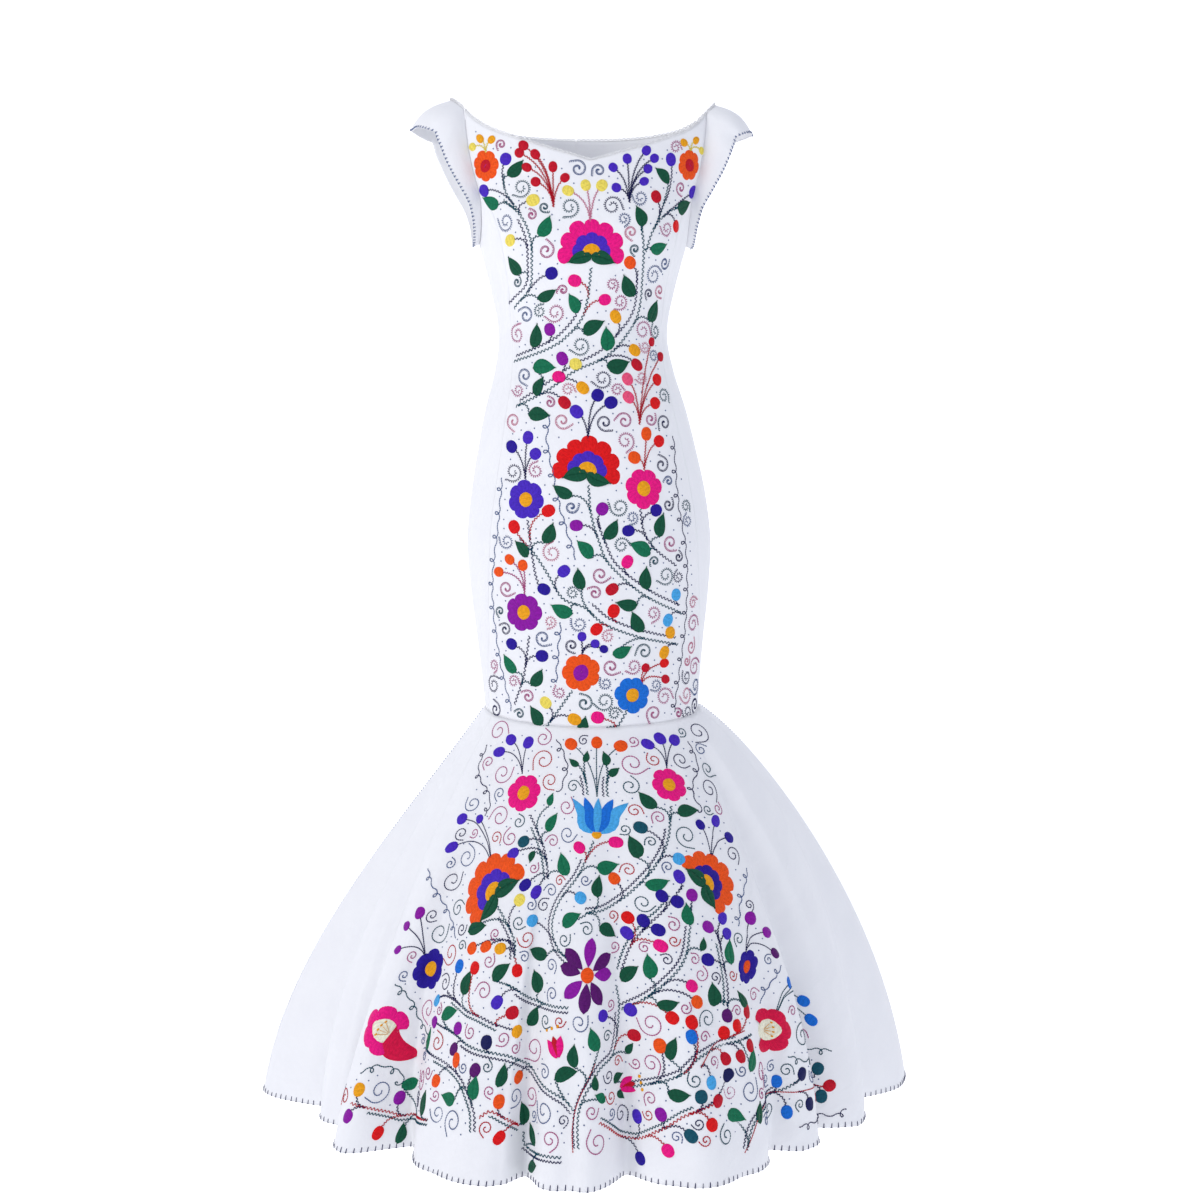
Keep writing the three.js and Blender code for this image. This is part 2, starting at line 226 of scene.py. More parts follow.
SKIRT_RIPPLES = tuple(Ripple(*row) for row in (
    (0.32, 0.35, 0.07, 7.5, 0.05), (0.85, 0.2, 0.08, -6.0, -0.1), (1.2, 0.1, 0.08, 6.8, 0.12),
    (1.78, 0.3, 0.07, -6.0, -0.1), (2.75, 0.45, 0.09, 6.8, 0.1), (3.36, 0.4, 0.06, 10.5, 0.06),
    (3.72, 0.25, 0.06, -5.2, -0.05), (4.27, 0.55, 0.06, -4.5, 0.03), (4.47, 0.4, 0.075, 11.5, 0.03),
    (5.38, 0.4, 0.07, 6.0, -0.05), (5.62, 0.35, 0.055, 11.5, 0.05), (5.8, 0.5, 0.06, -5.2, 0.04),
    (6.5, 0.35, 0.12, 5.2, 0.05), (7.4, 0.3, 0.1, 6.0, -0.08), (8.28, 0.15, 0.06, -6.0, 0.05),
    (8.72, 0.3, 0.07, 6.8, -0.06), (9.3, 0.4, 0.09, 6.0, 0.06), (9.75, 0.25, 0.08, -5.2, -0.05),
    (10.35, 0.45, 0.09, 6.8, 0.04), (11.25, 0.3, 0.09, -6.0, 0.05), (11.7, 0.5, 0.08, 6.0, -0.04),
    (12.4, 0.35, 0.1, 6.8, 0.05), (13.2, 0.4, 0.08, -5.2, -0.05),
))

SLEEVE = tuple(SleeveStation(*row) for row in (
    (0, 9, 0, 3, 0), (3, 12, 3, 6, 0.8), (5, 20, 8, 14, 2), (8, 41, 11, 33, 7), (11, 54, 0, 44, 11),
))


# ---- The form that the cloth follows ----


def column(table: Sequence[object], name: str) -> Points:
    """One named column of a table, as an array."""
    return np.array([getattr(row, name) for row in table], float)


def read(table: Sequence[object], key: str, name: str, at: Points | float) -> Points:
    """Reads one column of a table smoothly.

    Args:
        table: Rows whose key rises or falls steadily.
        key: The column that at is measured in.
        name: The column to read.
        at: Where to read it.

    Returns:
        The column's smooth values there.
    """
    keys, values = column(table, key), column(table, name)
    if keys[-1] < keys[0]:
        keys, values = keys[::-1], values[::-1]
    last = len(keys) - 1
    before, after = np.maximum(np.arange(last + 1) - 1, 0), np.minimum(np.arange(last + 1) + 1, last)
    slopes = (values[after] - values[before]) / (keys[after] - keys[before])
    i = np.clip(np.searchsorted(keys, at, side="right") - 1, 0, last - 1)
    span = keys[i + 1] - keys[i]
    u = np.clip((at - keys[i]) / span, 0, 1)
    rise = u * u * (3 - 2 * u)
    slope = (1 - u) * slopes[i] - u * slopes[i + 1]
    return values[i] + (values[i + 1] - values[i]) * rise + span * u * (1 - u) * slope


def mix(a: Points | float, b: Points | float, share: Points | float) -> Points:
    """A straight blend from a to b."""
    return a + (b - a) * share


def smoothstep(at: Points, low: float, high: float) -> Points:
    """0 below low, 1 above high and a smooth step between them."""
    u = np.clip((at - low) / (high - low), 0, 1)
    return u * u * (3 - 2 * u)


def ruck(x: Points, y: Points) -> Points:
    """Uneven small waves of stitched cloth, from about -1 to 1."""
    broad = np.sin(x / 11.3 + 1.7 * np.sin(y / 23.0)) * np.sin(y / 14.1 + 1.1 * np.sin(x / 17.0))
    return (broad + 0.6 * np.sin(x / 5.9 + y / 8.3 + 2.0 * np.sin(y / 31.0))) / 1.6


def unit(way: Points) -> Points:
    """Vectors of length 1 along others."""
    return way / np.maximum(np.linalg.norm(way, axis=-1, keepdims=True), 1e-6)


def left_of(way: Points) -> Points:
    """Flat vectors turned a quarter to the left."""
    return np.stack([-way[..., 1], way[..., 0]], -1)


def shares(count: int) -> Points:
    """Even shares from 0 to 1, as a column."""
    return np.linspace(0, 1, count)[:, None]


def run_along(points: Points, axis: int = 0) -> Points:
    """Distances run along one axis of a path or a grid of points."""
    steps = np.linalg.norm(np.diff(points, axis=axis), axis=-1)
    return np.concatenate([0 * np.take(steps, [0], axis=axis), np.cumsum(steps, axis=axis)], axis=axis)


@dataclass
class DressForm:
    """The outer face of the cloth, as functions of two numbers each for the body, a sleeve and the skirt."""

    cut: Cut = field(default_factory=Cut)

    def knee_height(self, angle: Points) -> Points:
        """Height of the knee seam at an angle from the front."""
        return mix(self.cut.knee_front, self.cut.knee_back, 0.5 - 0.5 * np.cos(np.radians(angle)))

    def body_relief(self, angle: Points, z: Points, reach: Points) -> Points:
        """How far mounds, folds and creases move the body's face outwards.

        Args:
            angle: Degrees from the front.
            z: Heights.
            reach: Distances from the body's axis.

        Returns:
            One distance a point, in millimetres.
        """

        def across(centre: Points | float) -> Points:
            """Distance round the body from an angle."""
            return np.radians((angle - centre + 180) % 360 - 180) * reach

        relief = np.zeros_like(reach)
        for mound in BUST:
            distance = np.hypot(across(mound.angle), z - mound.z) / mound.spread
            relief += mound.rise * np.exp(-(distance**2))
        relief += 0.55 * ruck(across(0), z) * (1 - smoothstep(np.abs(angle), 48, 70))
        for fold in DRAG_FOLDS + SOFT_CREASES:
            along = np.clip((z - fold.top) / (fold.bottom - fold.top), 0, 1)
            distance = across(mix(fold.angle_top, fold.angle_bottom, along)) / fold.width
            relief -= fold.depth * np.sin(np.pi * along) * np.exp(-(distance**2))
        return relief

    def body(self, angle: Points, z: Points) -> Points:
        """Points of the close body.

        Args:
            angle: Degrees from the front towards +X.
            z: Heights.

        Returns:
            An array of points, in millimetres.
        """
        turn = np.radians(angle)
        half_width = read(FIGURE, "z", "half_width", z)
        front, back = read(FIGURE, "z", "front", z), read(FIGURE, "z", "back", z)
        depth = np.where(np.cos(turn) > 0, front, back)
        x, y = half_width * np.sin(turn), -depth * np.cos(turn)
        out_x, out_y = np.sin(turn) / half_width, -np.cos(turn) / depth
        length = np.hypot(out_x, out_y)
        relief = self.body_relief(angle, z, np.hypot(x, y))
        x = x + read(FIGURE, "z", "axis", z) + relief * out_x / length
        return np.stack([x, y + relief * out_y / length, z + 0 * x], -1)

    def armhole(self, share: Points) -> tuple[Points, Points]:
        """Angle and height of the armhole's round lower part, from its front notch to its back one."""
        angle = mix(self.cut.armhole_front, self.cut.armhole_back, 0.5 - 0.5 * np.cos(np.pi * share))
        return angle, mix(self.cut.notch, self.cut.underarm, np.sin(np.pi * share))

    def sleeve_seam(self, k: Points) -> Points:
        """The left sleeve's seam and neck edge, at stations from the underarm up the front and over.

        Args:
            k: Stations.

        Returns:
            Points on the armhole's seam and, above it, on the shoulder's free edge.
        """
        cut = self.cut
        front = k < cut.station_top
        up = np.minimum(k, 2 * cut.station_top - k)
        share = 0.5 * np.minimum(up, cut.station_notch) / cut.station_notch
        angle, z = self.armhole(np.where(front, 0.5 - share, 0.5 + share))
        straight = up > cut.station_notch
        edge = np.where(front, cut.armhole_front, cut.armhole_back)
        climb = np.clip((up - cut.station_notch) / (cut.station_corner - cut.station_notch), 0, 1)
        height = np.where(straight, mix(cut.notch, cut.neck_corner, climb), z)
        low = self.body(np.where(straight, edge, angle), height)
        corner = self.body(edge, 0 * up + cut.neck_corner)
        over = np.clip((up - cut.station_corner) / (cut.station_top - cut.station_corner), 0, 1) * np.pi / 2
        x = mix(corner[:, 0], cut.shoulder_reach, np.sin(over))
        z = mix(corner[:, 2], cut.shoulder_edge, np.sin(over))
        high = np.stack([x, corner[:, 1] * np.cos(over), z], -1)
        return np.where((up > cut.station_corner)[:, None], high, low)

    def sleeve(self, k: Points, v: Points) -> Points:
        """Points of the left cap sleeve.

        Args:
            k: Stations round the armhole.
            v: 0 at the seam and 1 at the free edge.

        Returns:
            An array of points, in millimetres.
        """
        cut = self.cut
        k, v = np.broadcast_arrays(np.asarray(k, float), np.asarray(v, float))
        up = np.minimum(k, 2 * cut.station_top - k)
        names = ("out", "forward", "down", "puff")
        out, forward, down, puff = (read(SLEEVE, "station", name, up) for name in names)
        forward = np.where(k < cut.station_top, -1, 1) * forward
        way = np.stack([out, forward, -down], -1)
        seam = self.sleeve_seam(k)
        tangent = self.sleeve_seam(k + 0.1) - self.sleeve_seam(k - 0.1)
        outwards = unit(np.cross(way, tangent))
        reach = mix(cut.seam_gap / np.linalg.norm(way, axis=-1), 1, v)
        waves = 1.1 * np.sin(k * 2.9 + 1.3 * np.sin(k * 1.7)) * np.clip(v, 0, 1) * smoothstep(up, 3, 7)
        swell = puff * np.sin(np.pi * np.clip(v, -0.1, 1.1) * 0.93) + waves
        return seam + way * reach[:, None] + outwards * swell[:, None]

    def skirt(self, place: Points, fall: Points) -> Points:
        """Points of the skirt.

        Args:
            place: Flutes counted round from the first; a whole number is a valley and a half a ridge.
            fall: 0 at the knee seam and 1 at the hem.

        Returns:
            An array of points, in millimetres.
        """
        cut, count = self.cut, len(FLUTES)
        place, fall = np.broadcast_arrays(np.asarray(place, float), np.asarray(fall, float))
        i = np.floor(place).astype(int) % count
        u = place - np.floor(place)
        after = (i + 1) % count
        names = ("valley_at", "valley", "ridge_at", "ridge", "bell", "cone")
        table = {name: column(FLUTES, name) for name in names}
        low = u < 0.5
        foot = np.where(low, table["valley"][i], table["valley"][after])
        foot_at = np.where(low, table["valley_at"][i], table["valley_at"][after] + 360 * (i + 1 == count))
        climb = np.where(low, 2 * u, 2 - 2 * u)
        crowding = cut.flute_crowding * np.clip(fall, 0, 1)
        angle = mix(foot_at, table["ridge_at"][i], climb - crowding * np.sin(np.pi * climb) / np.pi)
        turn = np.radians(angle)
        hem_share = mix(foot, table["ridge"][i], 0.5 - 0.5 * np.cos(np.pi * climb))
        share = mix(1, hem_share, np.clip(fall, 0, 1.1) ** cut.flute_growth)
        bell = mix(table["bell"][i], table["bell"][after], u)

        def rise(at: Points | float) -> Points:
            """The skirt's spread before it is eased in at the knee."""
            return np.sin(np.pi / 2 * np.minimum(at, 1)) ** bell

        belled = (rise(fall + cut.bell_start) - rise(cut.bell_start)) / (1 - rise(cut.bell_start))
        spread = mix(belled, fall, mix(table["cone"][i], table["cone"][after], u))
        top = self.knee_height(angle) - cut.seam_gap / 2
        front = np.cos(turn) > 0
        knee_depth = np.where(front, read(FIGURE, "z", "front", top), read(FIGURE, "z", "back", top))
        half_width = mix(read(FIGURE, "z", "half_width", top), cut.hem_half_width, spread) * share
        depth = mix(knee_depth, np.where(front, cut.hem_front, cut.hem_back), spread) * share
        relief = np.zeros_like(fall)
        for ripple in SKIRT_RIPPLES:
            centre = ripple.place + ripple.drift * (fall - 1)
            off = (place - centre + count / 2) % count - count / 2
            strength = smoothstep(fall, ripple.start, ripple.start + 0.45)
            relief -= ripple.depth * strength * np.exp(-((off / ripple.width) ** 2))
        worked = smoothstep(place, 2.1, 2.5) * (1 - smoothstep(place, 7.5, 7.9)) * smoothstep(fall, 0, 0.1)
        relief += 0.8 * worked * ruck(np.radians(angle) * np.hypot(half_width, depth) / 1.4, fall * 590)
        x = read(FIGURE, "z", "axis", top) + (half_width + relief) * np.sin(turn)
        return np.stack([x, -(depth + relief) * np.cos(turn), mix(top, cut.hem, fall)], -1)


# ---- Cloth pieces ----


class Edge(Enum):
    """What an edge of a panel is, and how far it dips: a pressed seam, the flatter knee seam, or free."""

    SEAM = 0.6
    KNEE = 0.2
    FREE = 0.0


class Held(Enum):
    """How a panel is kept in its form."""

    STRETCHED = "stretched"
    HUNG = "hung"
    GATHERED = "gathered"


Place = Callable[[Points, Points], tuple[Points, Points]]
Surface = Callable[[Points, Points], Points]


def normals(surface: Surface, a: Points, b: Points, step_a: float, step_b: float) -> Points:
    """Unit normals of a surface, out of the cloth.

    Args:
        surface: The function of two numbers.
        a: First numbers; a small rise of them goes right, seen from outside.
        b: Second numbers.
        step_a: A small step to the right.
        step_b: A small step down.

    Returns:
        One normal a point.
    """
    across = surface(a + step_a, b) - surface(a - step_a, b)
    down = surface(a, b + step_b) - surface(a, b - step_b)
    return unit(np.cross(down, across))


def mesh_object(name: str, points: Points, faces: Points, uv: Points | None = None) -> bpy.types.Object:
    """A smooth mesh object from millimetre points.

    Args:
        name: The piece's name.
        points: Vertices, in millimetres.
        faces: Quads, as rows of four vertex numbers.
        uv: Cloth or thread coordinates of each vertex, in millimetres.

    Returns:
        The object, linked to the scene.
    """
    mesh = bpy.data.meshes.new(name)
    mesh.vertices.add(len(points))
    mesh.vertices.foreach_set("co", np.ascontiguousarray(points * MM, dtype=np.float32).ravel())
    mesh.loops.add(faces.size)
    mesh.loops.foreach_set("vertex_index", np.ascontiguousarray(faces, dtype=np.int32).ravel())
    mesh.polygons.add(len(faces))
    mesh.polygons.foreach_set("loop_start", np.arange(0, faces.size, 4, dtype=np.int32))
    mesh.update(calc_edges=True)
    mesh.polygons.foreach_set("use_smooth", np.ones(len(faces), dtype=bool))
    if uv is not None:
        layer = mesh.uv_layers.new(name="Cloth")
        layer.data.foreach_set("uv", np.ascontiguousarray(uv[faces.ravel()], dtype=np.float32).ravel())
    mesh.validate()
    made = bpy.data.objects.new(name, mesh)
    bpy.context.scene.collection.objects.link(made)
    return made


def grid_quads(columns: int, rows: int, first: int = 0) -> Points:
    """Quads of a grid of columns by rows of faces, wound so that down crossed with right points out."""
    at = first + np.arange((columns + 1) * (rows + 1)).reshape(rows + 1, columns + 1)
    return np.stack([at[:-1, :-1], at[1:, :-1], at[1:, 1:], at[:-1, 1:]], -1).reshape(-1, 4)


def edge_fine(count: int, length: float) -> Points:
    """Shares from 0 to 1, with extra ones close to both ends for a seam's dip.

    Args:
        count: Even spaces between.
        length: The distance that they cover, in millimetres.

    Returns:
        Rising shares.
    """
    close = np.array([0, 0.8, 1.8, 3.2, 5.0]) / length
    middle = np.linspace(9.0 / length, 1 - 9.0 / length, count)
    return np.concatenate([close, middle, 1 - close[::-1]])


@dataclass
class ClothPiece:
    """One cut piece of cloth: a thin closed shell on the dress's form."""

    name: str
    surface: Surface
    place: Place
    step: tuple[float, float]
    columns: Points
    rows: Points
    flat: tuple[float, float]
    area: float
    held: Held = Held.STRETCHED
    sides: tuple[Edge, Edge] = (Edge.SEAM, Edge.SEAM)
    top: Edge = Edge.FREE
    bottom: Edge = Edge.KNEE
    thickness: float = 1.4
    dip_width: float = 2.4

    def build(self) -> bpy.types.Object:
        """Builds the shell with pressed seams.

        Returns:
            The cloth's object.
        """
        s, v = np.meshgrid(self.columns, self.rows)
        a, b = self.place(s.ravel(), v.ravel())
        out = normals(self.surface, a, b, *self.step)
        outer = self.surface(a, b)
        grid = outer.reshape(len(self.rows), len(self.columns), 3)
        run, fall = run_along(grid, 1), run_along(grid, 0)
        outer = outer - out * self.seam_dip(run, fall).reshape(-1, 1)
        inner = outer - out * self.thickness
        uv = np.stack([run.ravel(), -fall.ravel()], -1)
        width, height = len(self.columns) - 1, len(self.rows) - 1
        front = grid_quads(width, height)
        back = grid_quads(width, height, len(outer))[:, ::-1]
        quads = np.concatenate([front, back, self.rim(width, height, len(outer))])
        return mesh_object(self.name, np.concatenate([outer, inner]), quads, np.concatenate([uv, uv]))

    def seam_dip(self, run: Points, fall: Points) -> Points:
        """How far the cloth turns in near its sewn edges.

        Args:
            run: Distances across the panel.
            fall: Distances down it.

        Returns:
            Depths, in millimetres.
        """
        dip = np.zeros_like(run)
        distances = (run, run[:, -1:] - run, fall, fall[-1:] - fall)
        for edge, distance in zip((*self.sides, self.top, self.bottom), distances):
            dip = np.maximum(dip, edge.value * np.exp(-((distance / self.dip_width) ** 2)))
        return dip

    @staticmethod
    def rim(width: int, height: int, count: int) -> Points:
        """Quads that close the shell round its four edges.

        Args:
            width: Faces across the panel.
            height: Faces down it.
            count: How far on the inner face's vertices are numbered.

        Returns:
            Rows of four vertex numbers.
        """
        at = np.arange((width + 1) * (height + 1)).reshape(height + 1, width + 1)
        loops = (at[0], at[:, -1], at[-1][::-1], at[:, 0][::-1])
        quads = [np.stack([e[:-1], e[1:], e[1:] + count, e[:-1] + count], -1) for e in loops]
        return np.concatenate(quads)


@dataclass(frozen=True)
class Gore:
    """A skirt gore: its two seams, counted in flutes, its columns, and its flat size and area in metres."""

    name: str
    start: float
    end: float
    columns: int
    flat: tuple[float, float]
    area: float


GORES = (
    Gore("skirt_front", 2.0, 8.0, 190, (1.35, 0.66), 0.53),
    Gore("skirt_side_left", 8.0, 8.5, 30, (0.27, 0.66), 0.1),
    Gore("skirt_side_right", 0.5, 2.0, 60, (0.3, 0.66), 0.113),
    Gore("skirt_back_left", 8.5, 11.0, 90, (0.8, 0.72), 0.342),
    Gore("skirt_back_right", 11.0, 13.5, 90, (0.74, 0.72), 0.295),
)


@dataclass
class Pattern:
    """Works out the cloth pieces' places on the dress's form."""

    UPPER: ClassVar = 4 / 26  # the share of a front or back panel's rows that lie above the notch
    BODY_STEP: ClassVar = (0.05, -0.05)
    SKIRT_STEP: ClassVar = (0.004, 0.004)
    SLEEVE_STEP: ClassVar = (0.01, 0.01)
    GORE_STEP: ClassVar = (0.002, 0.001)
    form: DressForm = field(default_factory=DressForm)

    def edge(self, part: str, z: Points) -> Points:
        """A front or back panel's outer edge, in degrees from the front."""
        return read(SIDE_SEAMS, "z", part, np.minimum(z, self.form.cut.notch))

    def beside(self, angle: Points, z: Points, sign: float) -> Points:
        """The angle half a seam gap away from a seam of the body."""
        per_degree = np.linalg.norm(self.form.body(angle + 0.1, z) - self.form.body(angle, z), axis=-1) / 0.1
        return angle + sign * self.form.cut.seam_gap / 2 / per_degree

    def height(self, neck: Points, knee_angle: Points, v: Points) -> Points:
        """Heights down a front or back panel: evenly to the notch, and then to the knee.

        Args:
            neck: Heights of the neckline.
            knee_angle: Degrees from the front at the knee.
            v: 0 at the neck and 1 at the knee.

        Returns:
            Heights, in millimetres.
        """
        cut, upper = self.form.cut, self.UPPER
        bottom = self.form.knee_height(knee_angle) + cut.seam_gap / 2
        lower = mix(cut.notch, bottom, (v - upper) / (1 - upper))
        return np.where(v < upper, mix(neck, cut.notch, v / upper), lower)

    def at_knee(self, part: str) -> float:
        """A front or back panel's outer edge at the knee, in degrees from the front."""
        return self.edge(part, np.array([self.form.cut.knee_front]))[0]

    def front(self, s: Points, v: Points) -> tuple[Points, Points]:
        """Places of the front panel.

        Args:
            s: 0 at the panel's left edge, seen from outside, and 1 at its right.
            v: 0 at its top and 1 at its bottom.

        Returns:
            Angles and heights.
        """
        across = 2 * s - 1
        neck = read(NECKLINE, "share", "front", np.abs(across))
        z = self.height(neck, across * self.at_knee("front"), v)
        return across * self.beside(self.edge("front", z), z, -1), z

    def back(self, side: int, s: Points, v: Points) -> tuple[Points, Points]:
        """Places of a back panel.

        Args:
            side: Which panel.
            s: 0 at its left edge, seen from outside, and 1 at its right.
            v: 0 at its top and 1 at its bottom.

        Returns:
            Angles and heights.
        """
        share = 1 - s if side > 0 else s
        neck = read(NECKLINE, "share", "back", share)
        z = self.height(neck, mix(180, self.at_knee("back"), share), v)
        middle = self.beside(np.full_like(z, 180.0), z, -1)
        return side * mix(middle, self.beside(self.edge("back", z), z, 1), share), z

    def side(self, side: int, s: Points, v: Points) -> tuple[Points, Points]:
        """Places of a side panel.

        Args:
            side: 1 on the wearer's left and -1 on the right.
            s: 0 at its left edge, seen from outside, and 1 at its right.
            v: 0 at its top and 1 at its bottom.

        Returns:
            Angles and heights.
        """
        cut = self.form.cut
        share = s if side > 0 else 1 - s
        top_angle, top = self.form.armhole(share)
        knee_angle = mix(self.at_knee("front"), self.at_knee("back"), share)
        bottom = self.form.knee_height(knee_angle) + cut.seam_gap / 2
        z = mix(top - cut.seam_gap / 2, bottom, v)
        front, back = self.edge("front", top), self.edge("back", top)
        here = mix((top_angle - front) / (back - front), share, smoothstep(v, 0, 0.3))
        low = self.beside(self.edge("front", z), z, 1)
        return side * mix(low, self.beside(self.edge("back", z), z, -1), here), z

    def gore(self, start: float, end: float, s: Points, v: Points) -> tuple[Points, Points]:
        """Places of a skirt gore between two places of the flutes.

        Args:
            start: The gore's first seam.
            end: Its last seam.
            s: 0 at the first and 1 at the last.
            v: 0 at the knee and 1 at the hem.

        Returns:
            Places and falls.
        """

        def beside(place: float, sign: float) -> Points:
            """The place half a seam gap away from a gore's seam.

            Args:
                place: The seam.
                sign: 1 to its right and -1 to its left.

            Returns:
                One place for each fall.
            """
            at = np.full_like(v, place)
            step = 0.01 * sign
            gap = np.linalg.norm(self.form.skirt(at + step, v) - self.form.skirt(at, v), axis=-1) / 0.01
            return at + sign * self.form.cut.seam_gap / 2 / gap

        return mix(beside(start, 1), beside(end, -1), s), v

    def mirrored_sleeve(self, k: Points, v: Points) -> Points:
        """The right sleeve's face."""
        return self.form.sleeve(2 * self.form.cut.station_top - k, v) * np.array([-1.0, 1.0, 1.0])

    def sleeve_face(self, hand: str) -> Surface:
        """The face of the sleeve on the left or right."""
        return self.form.sleeve if hand == "left" else self.mirrored_sleeve

    def pieces(self) -> list[ClothPiece]:
        """Every cut piece of the dress, with its grid and flat size.

        Returns:
            The pieces, front first.
        """
        form, free = self.form, (Edge.FREE, Edge.FREE)
        rows = np.concatenate([np.linspace(0, self.UPPER, 16)[:-1], np.linspace(self.UPPER, 1, 200)])
        body = partial(ClothPiece, surface=form.body, step=self.BODY_STEP, rows=rows)
        middle = {"place": self.front, "columns": edge_fine(84, 330)}
        made = [body("front_panel_cotton", flat=(0.36, 0.86), area=0.23, **middle)]
        for hand, side in (("left", 1), ("right", -1)):
            made += [
                body(
                    f"side_panel_{hand}_cotton", place=partial(self.side, side), columns=edge_fine(24, 130),
                    rows=np.linspace(0, 1, 200), flat=(0.19, 0.75), area=0.088, top=Edge.SEAM,
                ),
                body(
                    f"back_panel_{hand}_cotton", place=partial(self.back, side), columns=edge_fine(34, 150),
                    flat=(0.19, 0.83), area=0.11,
                ),
                ClothPiece(
                    f"sleeve_{hand}_cotton", self.sleeve_face(hand), lambda s, v: (mix(0.012, 21.988, s), v),
                    self.SLEEVE_STEP, edge_fine(150, 560), np.linspace(0, 1, 22), (0.56, 0.072), 0.02,
                    Held.HUNG, sides=free, bottom=Edge.FREE,
                ),
            ]
        for gore in GORES:
            place = partial(self.gore, gore.start, gore.end)
            columns = edge_fine(gore.columns, gore.flat[0] * 700)
            made.append(
                ClothPiece(
                    f"{gore.name}_cotton", form.skirt, place, self.GORE_STEP, columns, np.linspace(0, 1, 108),
                    gore.flat, gore.area, Held.GATHERED, top=Edge.KNEE, bottom=Edge.FREE,
                )
            )
        return made


# ---- Embroidery ----


def dye(red: int, green: int, blue: int) -> tuple[float, float, float]:
    """A linear colour from the three shares of 255 that a colour chart gives."""
    return tuple(round((c / 255) ** 2.2, 4) for c in (red, green, blue))


class Thread(Enum):
    """Colours of the embroidery cotton."""

    MAGENTA = dye(240, 12, 130)
    RED = dye(226, 14, 20)
    CRIMSON = dye(196, 4, 40)
    CERISE = dye(220, 8, 70)
    PINK = dye(240, 84, 124)
    ORANGE = dye(255, 84, 18)
    AMBER = dye(247, 164, 24)
    YELLOW = dye(250, 222, 96)
    CREAM = dye(252, 243, 218)
    VIOLET = dye(72, 40, 188)
    INDIGO = dye(38, 18, 146)
    PURPLE = dye(140, 16, 160)
    AUBERGINE = dye(88, 10, 104)
    NAVY = dye(20, 26, 84)
    BLUE = dye(20, 110, 214)
    SKY = dye(72, 168, 232)
    TEAL = dye(6, 80, 98)
    PINE = dye(0, 82, 58)
    GREEN = dye(8, 112, 78)
    MAUVE = dye(186, 88, 142)
    ROSE = dye(214, 132, 160)
    SLATE = dye(78, 100, 148)
    WHITE = dye(246, 246, 250)


(MAGENTA, RED, CRIMSON, CERISE, PINK, ORANGE, AMBER, YELLOW, CREAM, VIOLET, INDIGO, PURPLE,
 AUBERGINE, NAVY, BLUE, SKY, TEAL, PINE, GREEN, MAUVE, ROSE, SLATE, WHITE) = Thread


class Flower(Enum):
    """Kinds of flower."""

    FAN = "fan"
    DAISY = "daisy"
    STARFLOWER = "starflower"
    LOTUS = "lotus"
    TRUMPET = "trumpet"
    TULIP = "tulip"


class Line(Enum):
    """Ways of sewing a line."""

    ZIGZAG = "zigzag"
    TICKS = "ticks"
    ROPE = "rope"
    RUNNING = "running"


@dataclass(frozen=True)
class Bud:
    """A round satin bud; its place is in units of the studio frame."""

    x: float
    y: float
    thread: Thread
    size: float = 8.9


@dataclass(frozen=True)
class Leaf:
    """A satin leaf: its middle, the turn of its tip from the right and its length in millimetres."""

    x: float
    y: float
    turn: float
    length: float = 26.0
    thread: Thread = PINE


@dataclass(frozen=True)
class Stem:
    """A stem from its root to its tip."""

    points: tuple[tuple[float, float], ...]
    thread: Thread = TEAL
    line: Line = Line.ZIGZAG


@dataclass(frozen=True)
class Sprig:
    """Buds whose stalks all spring from one root."""

    x: float
    y: float
    thread: Thread
    buds: tuple[Bud, ...]


@dataclass(frozen=True)
class Bloom:
    """A flower: its kind, middle, turn of its top from the right, and radius in millimetres."""

    kind: Flower
    x: float
    y: float
    turn: float
    size: float
    petals: Thread
    ring: Thread = INDIGO
    heart: Thread = AMBER
    squash: float = 1.0


Places = dict[Thread, tuple[tuple[float, float], ...]]  # by colour, each x and y
Turned = tuple[tuple[float, float, float], ...]  # each x, y and the turn of a tip from the right, in degrees


def cut_axis(edge: Points) -> float:
    """The middle of the body beside an edge: its own middle where the edge is on one shoulder."""
    return 0.0 if abs(edge[:, 0].mean()) < 90 else float(np.sign(edge[:, 0].mean())) * 60.0


def inwards_at(line: Points, middle: Points) -> Points:
    """Level unit vectors from a line to the body's middle."""
    return unit((middle - line) * [1, 1, 0])


def tube(path: Points, radius: float, sides: int = 6) -> tuple[Points, Points, Points]:
    """A closed cord round a path.

    Args:
        path: Points in millimetres.
        radius: The cord's radius.
        sides: Faces round it.

    Returns:
        Its points, quads and thread coordinates.
    """
    way = unit(np.gradient(path, axis=0))
    level = unit(np.cross(way, [0.3, 0.2, 1.0]))
    upright = np.cross(level, way)
    turn = np.linspace(0, 2 * np.pi, sides + 1)[:, None, None]
    ring = path + (level * np.cos(turn) + upright * np.sin(turn)) * radius
    uv = np.stack(np.broadcast_arrays(run_along(path)[None] * 1.3, turn[..., 0] * radius), -1)
    return ring.reshape(-1, 3), grid_quads(len(path) - 1, sides), uv.reshape(-1, 2)


def cross_2d(a: Points, b: Points) -> Points:
    """The turn from flat vectors a to b."""
    return a[..., 0] * b[..., 1] - a[..., 1] * b[..., 0]


def spaced(path: Points, spacing: float) -> tuple[Points, Points]:
    """Even points along a path, and the unit tangents there.

    Args:
        path: Flat points.
        spacing: About how far apart the new points are.

    Returns:
        The points and the tangents.
    """
    run = run_along(path)
    count = max(int(round(run[-1] / spacing)), 1)
    at = np.linspace(0, run[-1], count + 1)
    points, ahead, behind = (
        np.stack([np.interp(at + off, run, path[:, k]) for k in (0, 1)], -1) for off in (0.0, 0.6, -0.6)
    )
    return points, unit(ahead - behind)


